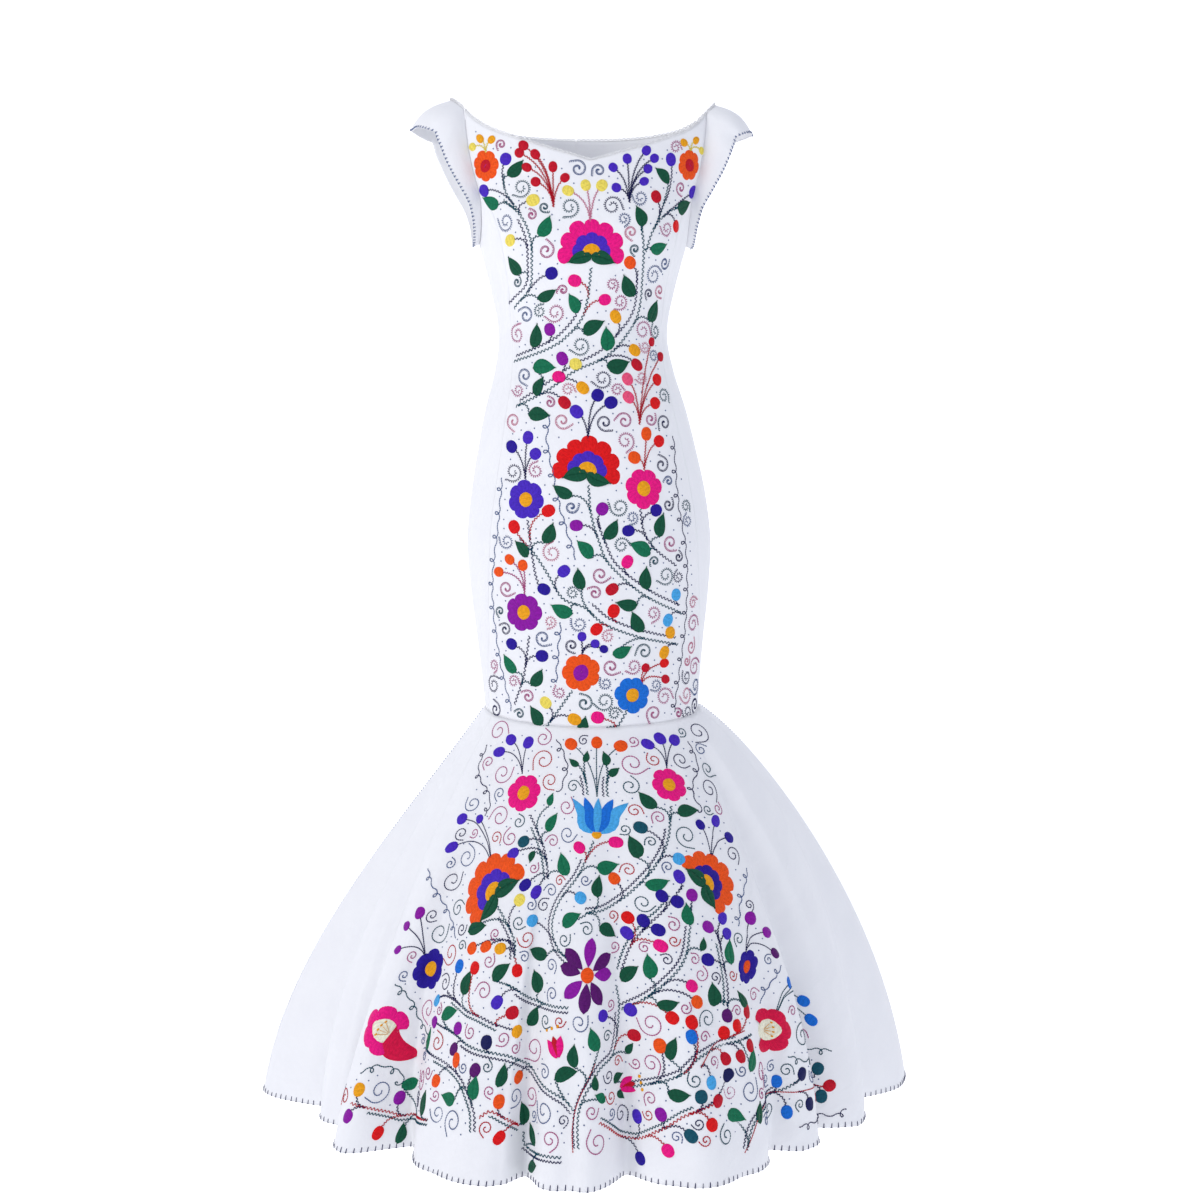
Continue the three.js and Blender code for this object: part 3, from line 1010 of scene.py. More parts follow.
def smooth_path(points: Points, each: int = 14) -> Points:
    """A smooth path through a few points.

    Args:
        points: The few points.
        each: New points for each of them.

    Returns:
        A Catmull-Rom curve's points.
    """
    points = np.asarray(points, float)
    ends = np.concatenate([[2 * points[0] - points[1]], points, [2 * points[-1] - points[-2]]])
    u = np.linspace(0, 1, each, endpoint=False)[:, None]
    parts = []
    for a, b, c, d in zip(ends, ends[1:], ends[2:], ends[3:]):
        square, cube = (2 * a - 5 * b + 4 * c - d) * u**2 / 2, (3 * b - a - 3 * c + d) * u**3 / 2
        parts.append(b + (c - a) * u / 2 + square + cube)
    return np.concatenate([*parts, points[-1:]])


def bend(a: Points, lean: Points, b: Points, count: int = 16) -> Points:
    """A curve from a to b that leaves towards lean."""
    u = shares(count)
    return a * (1 - u) ** 2 + lean * 2 * u * (1 - u) + b * u**2


class Canvas:
    """An embroidered panel laid flat, in millimetres, and where it shows in the studio frame."""

    NEAR: ClassVar = 4.0  # how close a place shows to one that is asked for, in frame units
    HIDDEN: ClassVar = 2000.0  # added to the depth of what faces away
    surface: Surface
    step: tuple[float, float]

    def unroll(self, flat: Points) -> tuple[Points, Points]:
        """The surface's two numbers at flat places."""
        raise NotImplementedError

    def spread(self) -> Points:
        """Flat places all over the panel."""
        raise NotImplementedError

    def lay(self, flat: Points, lift: Points) -> Points:
        """Points on the cloth, raised by a lift along its normals."""
        a, b = self.unroll(flat)
        return self.surface(a, b) + normals(self.surface, a, b, *self.step) * np.reshape(lift, (-1, 1))

    def look(self, studio: "Studio") -> None:
        """Notes where the panel's places show in the studio frame.

        Args:
            studio: The studio whose camera looks on.
        """
        self.places = self.spread()
        a, b = self.unroll(self.places)
        points = self.surface(a, b)
        self.shown, self.depth = studio.frame(points)
        facing = np.einsum("ij,ij->i", normals(self.surface, a, b, *self.step), points - studio.stand()) < 0
        self.depth = np.where(facing, self.depth, self.depth + self.HIDDEN)

    def seen(self, x: float, y: float) -> Points:
        """The flat place that shows at a place of the studio frame."""
        away = np.hypot(self.shown[:, 0] - x, self.shown[:, 1] - y)
        return self.places[np.argmin(np.where(away < self.NEAR, self.depth, 1e5 + 1e3 * away) + 12 * away)]

    def heading(self, x: float, y: float, turn: float) -> Points:
        """A flat unit vector that shows at this turn from the right of the studio frame."""
        right, up = 7.0 * np.cos(np.radians(turn)), 7.0 * np.sin(np.radians(turn))
        return unit(self.seen(x + right, y - up) - self.seen(x - right, y + up))


class BodiceCanvas(Canvas):
    """The front panel laid flat: distance round the body from its middle, and height."""

    def __init__(self, form: DressForm) -> None:
        """Measures the body round at many heights.

        Args:
            form: The dress's form.
        """
        self.surface, self.step = form.body, Pattern.BODY_STEP
        self.heights, self.round = np.arange(-892.0, -30.0, 6.0), np.arange(-220.0, 220.5, 2.0)
        angles = np.arange(-100.0, 100.5, 1.0)
        grid = form.body(*[g.ravel() for g in np.meshgrid(angles, self.heights)])
        run = run_along(grid.reshape(len(self.heights), len(angles), 3), 1)
        run -= run[:, [100]]
        self.table = np.array([np.interp(self.round, row, angles) for row in run])

    def unroll(self, flat: Points) -> tuple[Points, Points]:
        """Angle and height at flat places.

        Args:
            flat: Flat places.

        Returns:
            Angles and heights.
        """
        row, u = whole_and_part((flat[:, 1] - self.heights[0]) / 6.0, len(self.heights))
        col, v = whole_and_part((flat[:, 0] - self.round[0]) / 2.0, len(self.round))
        return between(self.table, row, col, u, v), flat[:, 1]

    def spread(self) -> Points:
        """Flat places over the front panel."""
        x, y = np.meshgrid(np.arange(-190.0, 190.0, 2.0), np.arange(-886.0, -36.0, 2.5))
        return np.stack([x.ravel(), y.ravel()], -1)


class SkirtCanvas(Canvas):
    """The skirt's front gore laid flat, as a part of a ring below the point where its sides would meet."""

    def __init__(self, form: DressForm, start: float, middle: float, end: float) -> None:
        """Measures the gore round at many falls, and down.

        Args:
            form: The dress's form.
            start: The gore's first place.
            middle: The place that hangs straight down.
            end: The gore's last place.
        """
        self.surface, self.step = form.skirt, Pattern.SKIRT_STEP
        falls = np.linspace(0, 1.02, 103)
        places = np.linspace(start, end, 601)
        grid = form.skirt(*[g.ravel() for g in np.meshgrid(places, falls)])
        grid = grid.reshape(len(falls), len(places), 3)
        run = run_along(grid, 1)
        run -= np.array([np.interp(middle, places, row) for row in run])[:, None]
        down = run_along(grid, 0).mean(axis=1)
        self.falls, self.down = falls, down
        self.half_turn = [abs(run[-3, k] - run[0, k]) / down[-3] for k in (0, -1)]
        self.inner = (abs(run[0, 0]) + abs(run[0, -1])) / sum(self.half_turn)
        self.shares = np.linspace(-1, 1, 401)
        left, right = np.maximum(-self.shares, 0), np.maximum(self.shares, 0)
        self.table = np.array([np.interp(left * row[0] + right * row[-1], row, places) for row in run])

    def unroll(self, flat: Points) -> tuple[Points, Points]:
        """Place and fall at flat places.

        Args:
            flat: Flat places.

        Returns:
            Places and falls.
        """
        distance = np.hypot(flat[:, 0], flat[:, 1]) - self.inner
        row, u = whole_and_part(np.interp(distance, self.down, np.arange(len(self.down))), len(self.down))
        turn = np.arctan2(flat[:, 0], -flat[:, 1])
        share = np.clip(turn / np.where(turn < 0, *self.half_turn), -1, 1)
        col, v = whole_and_part((share + 1) * 200, len(self.shares))
        return between(self.table, row, col, u, v), np.interp(distance, self.down, self.falls)

    def spread(self) -> Points:
        """Flat places over the gore.

        Returns:
            Rows of two numbers.
        """
        distance, share = np.meshgrid(np.arange(3.0, self.down[-4], 3.0), np.linspace(-0.995, 0.995, 330))
        turn = share * np.where(share < 0, *self.half_turn)
        reach = distance + self.inner
        return np.stack([(reach * np.sin(turn)).ravel(), (-reach * np.cos(turn)).ravel()], -1)


class EdgeCanvas(Canvas):
    """A strip of cloth along an edge or a seam: distance along it, and distance in from it."""

    def __init__(
        self, surface: Surface, step: tuple[float, float], a: Points, b: Points, inwards: tuple[float, float]
    ) -> None:
        """Measures the strip.

        Args:
            surface: The cloth's surface.
            step: Its small steps right and down.
            a: The surface's first numbers along the edge.
            b: The second numbers.
            inwards: How the two numbers change on the way in.
        """
        self.surface, self.step, self.a, self.b = surface, step, a, b
        edge = surface(a, b)
        self.run = run_along(edge)
        inwards = np.broadcast_to(inwards, (len(a), 2)) * 0.01
        reach = np.linalg.norm(surface(a + inwards[:, 0], b + inwards[:, 1]) - edge, axis=-1)
        self.inwards = inwards / np.maximum(reach, 1e-6)[:, None]

    def unroll(self, flat: Points) -> tuple[Points, Points]:
        """The surface's numbers at places of the strip.

        Args:
            flat: Flat places: distance along the strip and distance in.

        Returns:
            The surface's two numbers.
        """
        x, y = flat[:, 0], flat[:, 1]
        return tuple(
            np.interp(x, self.run, line) + y * np.interp(x, self.run, self.inwards[:, k])
            for k, line in enumerate((self.a, self.b))
        )


def whole_and_part(at: Points, count: int) -> tuple[Points, Points]:
    """Splits places along a table into a row number and the share of the way to the next."""
    whole = np.clip(np.floor(at).astype(int), 0, count - 2)
    return whole, np.clip(at - whole, 0, 1)


def between(table: Points, row: Points, col: Points, u: Points, v: Points) -> Points:
    """Blends four neighbours of a table, by shares of the way to the next row and column."""
    low = mix(table[row, col], table[row, col + 1], v)
    return mix(low, mix(table[row + 1, col], table[row + 1, col + 1], v), u)


@dataclass
class Needlework:
    """Threads laid on one canvas, gathered by colour."""

    LIFT: ClassVar = 0.26  # how far the threads stand off the cloth's face
    STEM_STEP: ClassVar = 4.0  # distance between the points of a stem that stalks may spring from
    STALK: ClassVar = 78.0  # the longest stalk
    BESIDE: ClassVar = 2.5  # room that the ground's curls leave beside a stalk
    KNOT_ROOM: ClassVar = 4.2  # room that a knot needs between other threads
    KNOT_SPACING: ClassVar = 8.0
    name: str
    canvas: Canvas
    seed: int
    laid: dict[Thread, list[tuple[Points, Points, Points, Points]]] = field(default_factory=dict)
    stems: list[Points] = field(default_factory=list)
    taken: list[tuple[float, float, float]] = field(default_factory=list)

    def __post_init__(self) -> None:
        """Starts this canvas's own run of chance."""
        self.chance = np.random.default_rng(self.seed)

    def keep(self, thread: Thread, flat: Points, lift: Points, uv: Points, quads: Points) -> None:
        """Keeps a patch of thread until its colour is built."""
        self.laid.setdefault(thread, []).append((flat, lift, uv, quads))

    def satin(self, thread: Thread, left: Points, right: Points, height: float = 0.8) -> None:
        """Padded satin between two rails, its strands running from one rail to the other.

        Args:
            thread: Its colour.
            left: One rail.
            right: The other rail.
            height: The padding's height.
        """
        along, across = left[-1] - left[0] + right[-1] - right[0], (right - left).mean(axis=0)
        if cross_2d(along, across) < 0:
            left, right = right, left
        share = np.array([0, 0.14, 0.5, 0.86, 1])
        profile = np.array([-0.35, 0.74 * height, height, 0.74 * height, -0.35])
        flat = left[:, None] + (right - left)[:, None] * share[:, None]
        run = run_along((left + right) / 2) + self.chance.uniform(0, 9)
        wide = np.linalg.norm(right - left, axis=-1)
        uv = np.stack([run[:, None] + 0 * share, wide[:, None] * share], -1)
        lift = np.broadcast_to(profile, (len(left), 5))
        self.keep(thread, flat.reshape(-1, 2), lift.ravel(), uv.reshape(-1, 2), grid_quads(4, len(left) - 1))

    def stitches(
        self, thread: Thread, starts: Points, ends: Points, width: float = 1.15, height: float = 0.6
    ) -> None:
        """Single straight stitches.

        Args:
            thread: Their colour.
            starts: Where each begins.
            ends: Where each ends.
            width: A stitch's width.
            height: Its height.
        """
        count = len(starts)
        if not count:
            return
        way = ends - starts
        length = np.maximum(np.linalg.norm(way, axis=-1, keepdims=True), 1e-6)
        side = left_of(way) / length
        along, swell = np.array([0, 0.2, 0.8, 1]), np.array([0.45, 1, 1, 0.45])
        rise = np.array([-0.3, 1, 1, -0.3])
        across = np.array([-0.5, 0, 0.5]) * width
        profile = np.array([-0.15, 1, -0.15]) * height
        flat = (
            starts[:, None, None]
            + way[:, None, None] * along[:, None, None]
            + side[:, None, None] * (swell[:, None] * across)[..., None]
        )
        lift = np.broadcast_to(np.where(rise[:, None] > 0, profile, -0.3), (count, 4, 3))
        uv = np.stack(np.broadcast_arrays((across + width / 2)[None, None], (length * along)[..., None]), -1)
        quads = (grid_quads(2, 3)[None] + 12 * np.arange(count)[:, None, None]).reshape(-1, 4)
        self.keep(thread, flat.reshape(-1, 2), lift.ravel(), uv.reshape(-1, 2), quads)

    def sew_line(self, thread: Thread, path: Points, line: Line, size: float = 1.0) -> None:
        """Sews a line of small stitches along a path.

        Args:
            thread: Its colour.
            path: Flat points.
            line: How it is sewn.
            size: The stitches' scale.
        """
        if line is Line.ZIGZAG:
            points, tangents = spaced(path, 2.9 * size)
            side = left_of(tangents)
            swing = np.where(np.arange(len(points)) % 2, 1.0, -1.0)[:, None] * 2.0 * size
            points = points + side * (swing + self.chance.normal(0, 0.16, swing.shape))
            self.stitches(thread, points[:-1], points[1:], 1.35, 0.75)
        elif line is Line.TICKS:
            points, tangents = spaced(path, 3.0 * size)
            side = left_of(tangents)
            reach = 3.1 * size + self.chance.normal(0, 0.25, (len(points), 1))
            self.stitches(thread, points, points + side * reach + tangents * 0.5, 1.3, 0.7)
            self.stitches(thread, points[:-1], points[1:], 0.8, 0.4)
        else:
            spacing = 3.4 if line is Line.ROPE else 4.6 * size
            points, tangents = spaced(path, spacing)
            side = left_of(tangents)
            if line is Line.ROPE:
                self.stitches(thread, points[:-1] + side[:-1] * 0.22, points[1:] - side[1:] * 0.22, 1.6, 0.75)
            else:
                self.stitches(thread, points[:-1], points[:-1] + tangents[:-1] * 2.9 * size, 1.0)

    def knots(self, thread: Thread, at: Points, size: float = 1.5, height: float = 0.7) -> None:
        """Small round knots."""
        reach = np.array([size / 2, 0])
        self.stitches(thread, at - reach, at + reach, size, height)

    def leaf(self, thread: Thread, middle: Points, way: Points, length: float, height: float = 0.85) -> None:
        """A pointed leaf in two halves of slanted satin, with a thin vein left between them.

        Args:
            thread: Its colour.
            middle: Its middle.
            way: The unit vector to its tip.
            length: Its length.
            height: The padding's height.
        """
        side = left_of(way)
        u = shares(9)
        half = length * 0.29 * self.chance.uniform(0.9, 1.1)
        belly = half * np.sin(np.pi * u**0.82) ** 0.85
        curve = side * length * 0.07 * self.chance.choice([-1.0, 1.0]) * np.sin(np.pi * u)
        spine = middle + way * length * (u - 0.5) + curve
        for sign in (-1, 1):
            edge = middle + way * length * (np.clip(u - 0.05, 0, 1) - 0.5) + curve + side * sign * belly
            self.satin(thread, spine - side * sign * 0.75, edge, height)
        self.taken.append((*middle, length * 0.42))

    def bud(self, thread: Thread, middle: Points, way: Points, size: float) -> None:
        """A drop-shaped bud of satin along its stalk.

        Args:
            thread: Its colour.
            middle: Its middle.
            way: The unit vector from its stalk.
            size: Its radius.
        """
        side = left_of(way)
        u = shares(9)
        long, wide = size * self.chance.uniform(0.96, 1.1), size * self.chance.uniform(0.9, 1.02)
        spine = middle - way * long * np.cos(np.pi * u)
        belly = side * wide * np.sin(np.pi * u) ** 0.8
        self.satin(thread, spine - belly, spine + belly, 0.95)
        self.taken.append((*middle, size * 1.05))

    def disc(self, thread: Thread, middle: Points, way: Points, size: float, squash: float = 1.0) -> None:
        """A round of satin.

        Args:
            thread: Its colour.
            middle: Its middle.
            way: A unit vector along it.
            size: Its radius.
            squash: Its width for its length.
        """
        side = left_of(way) * squash
        u = shares(11)
        spine, belly = middle - way * size * np.cos(np.pi * u), side * size * np.sin(np.pi * u)
        self.satin(thread, spine - belly, spine + belly, 1.1)

    def lobes(
        self, thread: Thread, middle: Points, way: Points, angles: Points, reach: tuple[float, float],
        squash: float = 1.0, height: float = 1.0,
    ) -> None:
        """A scalloped band of satin, one lobe between each two angles.

        Args:
            thread: Its colour.
            middle: The flower's middle.
            way: The unit vector to its top.
            angles: Degrees from the top.
            reach: The band's inner and outer reach.
            squash: The flower's width for its length.
            height: The padding's height.
        """
        inner, outer = reach
        side = left_of(way)

        def at(turn: Points, reach: Points | float) -> Points:
            """Flat places at turns and reaches from the flower's middle."""
            out = way * np.cos(turn)[:, None] + side * squash * np.sin(turn)[:, None]
            return middle + out * np.reshape(reach, (-1, 1))

        for start, end in zip(angles, angles[1:]):
            turn = np.radians(np.linspace(start, end, 9))
            bulge = np.sin(np.pi * np.linspace(0, 1, 9)) ** 0.55
            rim = outer * self.chance.uniform(0.97, 1.03) * (0.86 + 0.14 * bulge)
            self.satin(thread, at(turn, inner + 0 * bulge), at(turn, rim), height)

    def fan(self, bloom: Bloom, middle: Points, way: Points) -> None:
        """A half rosette: seven outer scallops, an inner band, a heart and two dark leaves at its base.

        Args:
            bloom: The flower.
            middle: Its middle.
            way: The unit vector to its top.
        """
        size, side = bloom.size, left_of(way)
        seat = middle - way * size * 0.18
        outside, band = (size * 0.5, size * 1.06), (size * 0.24, size * 0.65)
        self.lobes(bloom.petals, seat, way, np.linspace(-112, 112, 8), outside, bloom.squash, 0.9)
        self.lobes(bloom.ring, seat, way, np.linspace(-103, 103, 6), band, bloom.squash, 1.3)
        u = shares(9)
        arc = np.pi * (u - 0.5) * 1.15
        rim = seat + (way * np.cos(arc) + side * np.sin(arc)) * size * 0.31
        self.satin(bloom.heart, seat - way * size * 0.06 + 0 * rim + side * (u - 0.5) * size * 0.3, rim, 1.7)
        for sign in (-1, 1):
            tip = side * sign * size * 0.74 * bloom.squash - way * size * 0.2
            self.leaf(PINE, seat + tip / 2 - way * size * 0.1, unit(tip), size * 0.8, 1.9)
        self.taken.append((*middle, size * 1.05))

    def daisy(self, bloom: Bloom, middle: Points, way: Points) -> None:
        """A seven-lobed rosette with a round heart.

        Args:
            bloom: The flower.
            middle: Its middle.
            way: The unit vector to its top.
        """
        size = bloom.size
        angles = np.linspace(-180, 180, 8) + 11
        self.lobes(bloom.petals, middle, way, angles, (size * 0.36, size * 1.08), bloom.squash)
        if bloom.ring is not INDIGO:
            self.disc(bloom.ring, middle, way, size * 0.47, bloom.squash)
            self.disc(bloom.heart, middle, way, size * 0.2, bloom.squash)
        else:
            self.disc(bloom.heart, middle, way, size * 0.41, bloom.squash)
        self.taken.append((*middle, size * 1.1))

    def starflower(self, bloom: Bloom, middle: Points, way: Points) -> None:
        """Eight loose petals round a heart.

        Args:
            bloom: The flower.
            middle: Its middle.
            way: The unit vector to its top.
        """
        size, side = bloom.size, left_of(way)
        u = shares(10)
        for k in range(8):
            turn = np.radians(k * 45 + 8 * math.sin(2.3 * k))
            out = way * math.cos(turn) + side * math.sin(turn)
            across = left_of(out)
            long = size * (0.84 + 0.1 * math.sin(1.7 * k + 1))
            spine = middle + out * (size * 0.24 + long * u)
            belly = across * size * 0.225 * np.sin(np.pi * u**1.3) ** 0.62
            self.satin(bloom.petals if k % 3 else PURPLE, spine - belly, spine + belly, 0.95)
        self.disc(bloom.heart, middle, way, size * 0.24)
        self.taken.append((*middle, size * 1.1))

    def lotus(self, bloom: Bloom, middle: Points, way: Points) -> None:
        """A cup of pointed petals on a small base.

        Args:
            bloom: The flower.
            middle: Its middle.
            way: The unit vector to its top.
        """
        size, side = bloom.size, left_of(way)
        wide = np.sin(np.pi * (0.1 + 0.9 * shares(14))) ** 0.8
        outer = ((0.12, -0.78), (0.62, -0.5), (0.72, 0.02), (1.18, 0.6))
        inner = ((0.06, -0.78), (0.34, -0.4), (0.4, 0.1), (0.62, 0.66))
        centre = ((0, -0.8), (0, -0.3), (0, 0.2), (0, 0.64))
        for thread, line, broad, height in (
            (SKY, outer, 0.25, 0.8),
            (bloom.petals, inner, 0.27, 1.1),
            (SKY, centre, 0.24, 1.5),
        ):
            for sign in (-1, 1)[: 1 + (line is not centre)]:
                path = smooth_path([middle + (side * sign * x + way * y) * size for x, y in line], 30)
                spine, tangents = spaced(path, run_along(path)[-1] / 13.001)
                belly = left_of(tangents) * size * broad * wide[: len(spine)]
                self.satin(thread, spine - belly, spine + belly, height)
        self.disc(bloom.heart, middle - way * size * 0.82, way, size * 0.25)
        self.taken.append((*middle, size * 1.0))

    def trumpet(self, bloom: Bloom, middle: Points, way: Points) -> None:
        """A flared bell with a pale throat and stamens, and its tube.

        Args:
            bloom: The flower.
            middle: Its middle.
            way: The unit vector to its top.
        """
        size, side = bloom.size, left_of(way)
        bell = (size * 0.42, size * 1.0)
        self.lobes(bloom.petals, middle, way, np.linspace(-142, 142, 6), bell, 0.82)
        if bloom.ring is not bloom.petals:
            u = shares(16)
            spine = middle - way * size * (0.25 + 1.45 * u) + side * size * 0.26 * np.sin(np.pi * u**0.8)
            belly = side * size * (0.44 - 0.17 * u) * (1 - u**5) ** 0.5 + side * 0.4
            self.satin(bloom.ring, spine - belly, spine + belly, 1.4)
            self.taken.extend((*p, size * 0.4) for p in spine[::3])
        self.disc(CREAM, middle, way, size * 0.54, 0.8)
        root = middle - way * size * 0.25
        for lean in (-28, -9, 10, 30):
            turn = math.radians(lean)
            tip = root + (way * math.cos(turn) + side * math.sin(turn)) * size * 0.5
            self.stitches(AMBER, root[None], tip[None], 1.3, 2.0)
            self.knots(AMBER, tip[None], 4.6, 2.4)
        self.taken.append((*middle, size * 1.1))

    def tulip(self, bloom: Bloom, middle: Points, way: Points) -> None:
        """A small cup of three petals with stamens above.

        Args:
            bloom: The flower.
            middle: Its middle.
            way: The unit vector to its top.
        """
        size, side = bloom.size, left_of(way)
        u = shares(9)
        for lean in (-24, 24, 0):
            turn = math.radians(lean)
            out = way * math.cos(turn) + side * math.sin(turn)
            spine = middle - way * size * 0.6 + out * size * 1.35 * u
            belly = left_of(out) * size * 0.34 * np.sin(np.pi * (0.1 + 0.9 * u)) ** 0.8
            self.satin(bloom.petals if lean else bloom.heart, spine - belly, spine + belly, 0.95)
        for lean in (-0.5, 0, 0.5):
            self.knots(AMBER, (middle + way * size * 1.25 + side * size * lean)[None], 4.4)
        self.taken.append((*middle, size * 1.2))

    def bloom(self, bloom: Bloom) -> None:
        """Sews one flower.

        Args:
            bloom: The flower.
        """
        middle = self.canvas.seen(bloom.x, bloom.y)
        way = self.canvas.heading(bloom.x, bloom.y, bloom.turn)
        sewn = {
            Flower.FAN: self.fan,
            Flower.DAISY: self.daisy,
            Flower.STARFLOWER: self.starflower,
            Flower.LOTUS: self.lotus,
            Flower.TRUMPET: self.trumpet,
            Flower.TULIP: self.tulip,
        }
        sewn[bloom.kind](bloom, middle, way)

    def stem(self, stem: Stem, twin: bool = False) -> None:
        """Sews one stem, with a twin beside it if asked, and remembers it for the stalks.

        Args:
            stem: The stem.
            twin: Whether a thinner stem runs beside it.
        """
        path = smooth_path([self.canvas.seen(*p) for p in stem.points])
        self.stems.append(spaced(path, self.STEM_STEP)[0])
        self.sew_line(stem.thread, path, stem.line)
        if twin and stem.line is Line.ZIGZAG:
            points, tangents = spaced(path, 6.0)
            beside = (points + left_of(tangents) * 6.2)[: int(len(points) * 0.86)]
            thread = NAVY if stem.thread is TEAL else TEAL
            self.sew_line(thread, beside, Line.ZIGZAG, 0.85)
            self.taken.extend((*p, self.BESIDE) for p in beside)

    def branch(self, middle: Points, reach: float) -> tuple[Points, Points]:
        """Where a stalk leaves the nearest stem, and the point that it leans towards.

        Args:
            middle: Where the stalk ends.
            reach: Its greatest length.

        Returns:
            The stalk's root, and the point that it leans towards.
        """
        best = min(self.stems, key=lambda s: np.linalg.norm(s - middle, axis=-1).min())
        away = np.linalg.norm(best - middle, axis=-1)
        near = int(away.argmin())
        back = max(near - int(round(away[near] * 0.8 / self.STEM_STEP)) - 1, 0)
        root = best[back]
        way = unit(best[min(back + 2, len(best) - 1)] - best[max(back - 2, 0)])
        distance = np.linalg.norm(middle - root)
        if distance > reach:
            root = middle + (root - middle) * reach / distance
            distance = reach
        return root, root + way * distance * 0.55

    def stalked(self, place: Bud | Leaf, thread: Thread, line: Line) -> None:
        """Sews a bud or a leaf with its stalk.

        Args:
            place: The bud or leaf.
            thread: The stalk's colour.
            line: How the stalk is sewn.
        """
        middle = self.canvas.seen(place.x, place.y)
        root, lean = self.branch(middle, self.STALK)
        if isinstance(place, Leaf):
            way = self.canvas.heading(place.x, place.y, place.turn)
            foot = middle - way * place.length * 0.48
            self.leaf(place.thread, middle, way, place.length)
        else:
            way = unit(middle - lean)
            foot = middle - way * place.size * 0.9
            self.bud(place.thread, middle, way, place.size)
        if np.linalg.norm(foot - root) > 4:
            path = bend(root, lean, foot)
            self.sew_line(thread, path, line, 0.8)
            self.taken.extend((*p, self.BESIDE) for p in path[::3])

    def sprig(self, sprig: Sprig, line: Line) -> None:
        """Sews buds whose stalks spring from one root.

        Args:
            sprig: The buds and their root.
            line: How the stalks are sewn.
        """
        root = self.canvas.seen(sprig.x, sprig.y)
        up = self.canvas.heading(sprig.x, sprig.y, 90)
        for bud in sprig.buds:
            middle = self.canvas.seen(bud.x, bud.y)
            lean = root + up * np.linalg.norm(middle - root) * 0.5 + (middle - root) * 0.12
            way = unit(middle - lean)
            path = bend(root, lean, middle - way * bud.size * 0.85)
            self.sew_line(sprig.thread, path, line, 0.66)
            self.bud(bud.thread, middle, way, bud.size)
            self.taken.extend((*p, self.BESIDE) for p in path[::3])

    def curl(self, thread: Thread, middle: Points, size: float, line: Line, turns: float = 1.6) -> None:
        """Sews a spiral that opens into a short tail.

        Args:
            thread: Its colour.
            middle: Its middle.
            size: Its radius.
            line: How it is sewn.
            turns: Turns of the spiral.
        """
        start, sign = self.chance.uniform(0, 2 * np.pi), self.chance.choice([-1.0, 1.0])
        u = np.linspace(0.12, 1, 40)
        turn = start + sign * 2 * np.pi * turns * u
        path = middle + np.stack([np.cos(turn), np.sin(turn)], -1) * (size * u**0.85)[:, None]
        tail = path[-1] + unit(path[-1] - path[-2]) * size * 0.55
        self.sew_line(thread, np.concatenate([path, tail[None]]), line, 0.85)
        self.taken.append((*middle, size))

    def tendril(self, thread: Thread, points: tuple[tuple[float, float], ...]) -> None:
        """Sews a thin string with small loops in it, through places of the studio frame.

        Args:
            thread: Its colour.
            points: Places of the studio frame.
        """
        path, tangents = spaced(smooth_path([self.canvas.seen(*p) for p in points]), 1.0)
        side = left_of(tangents)
        share = np.arange(len(path)) / 33.0 % 1
        reach = 6.4 * np.sin(np.pi * share[:, None]) ** 3
        turn = np.pi * (4 * share[:, None] + 1)
        path = path + (side * np.cos(turn) + tangents * np.sin(turn)) * reach
        self.sew_line(thread, path, Line.ROPE)
        self.taken.extend((*p, 4.5) for p in path[::6])

    def fill(
        self, inside: Callable[[Points], Points], sizes: Sequence[float], threads: Sequence[Thread],
        line: Line,
    ) -> None:
        """Fills the gaps between motifs with curls, the largest first, and then with tiny knots.

        Args:
            inside: Tells which flat places may be worked.
            sizes: Radii of the curls.
            threads: Colours that the curls take by chance.
            line: How the curls are sewn.
        """
        for stem in self.stems:
            self.taken.extend((*p, 4.0) for p in stem[::2])
        places = self.canvas.places[inside(self.canvas.places)]
        room = np.full(len(places), 1e3)
        for x, y, reach in self.taken:
            room = np.minimum(room, np.hypot(places[:, 0] - x, places[:, 1] - y) - reach)
        for size in sizes:
            while (room > size * 1.12).any():
                place = places[self.chance.choice(np.flatnonzero(room > size * 1.12))]
                self.curl(threads[self.chance.integers(len(threads))], place, size, line)
                room = np.minimum(room, np.hypot(*(places - place).T) - size * 1.05)
        dots = []
        while (room > self.KNOT_ROOM).any():
            dots.append(places[self.chance.choice(np.flatnonzero(room > self.KNOT_ROOM))])
            room = np.minimum(room, np.hypot(*(places - dots[-1]).T) - self.KNOT_SPACING)
        self.knots(SLATE, np.array(dots), 1.9)

    def objects(self) -> list[bpy.types.Object]:
        """Builds one object for each colour of thread.

        Returns:
            The objects, each with its colour's name kept on it.
        """
        made = []
        for thread, patches in self.laid.items():
            counts = np.cumsum([0] + [len(flat) for flat, *_ in patches])
            flat, lift, uv = (np.concatenate([patch[k] for patch in patches]) for k in range(3))
            quads = np.concatenate([patch[3] + first for patch, first in zip(patches, counts)])
            points = self.canvas.lay(flat, lift + self.LIFT)
            made.append(mesh_object(f"{self.name}_{thread.name.lower()}_thread", points, quads, uv))
            made[-1]["thread"] = thread.name
        return made


# ---- Places of the motifs, in units of the studio frame, 1200 to a side, as its camera sees the dress ----

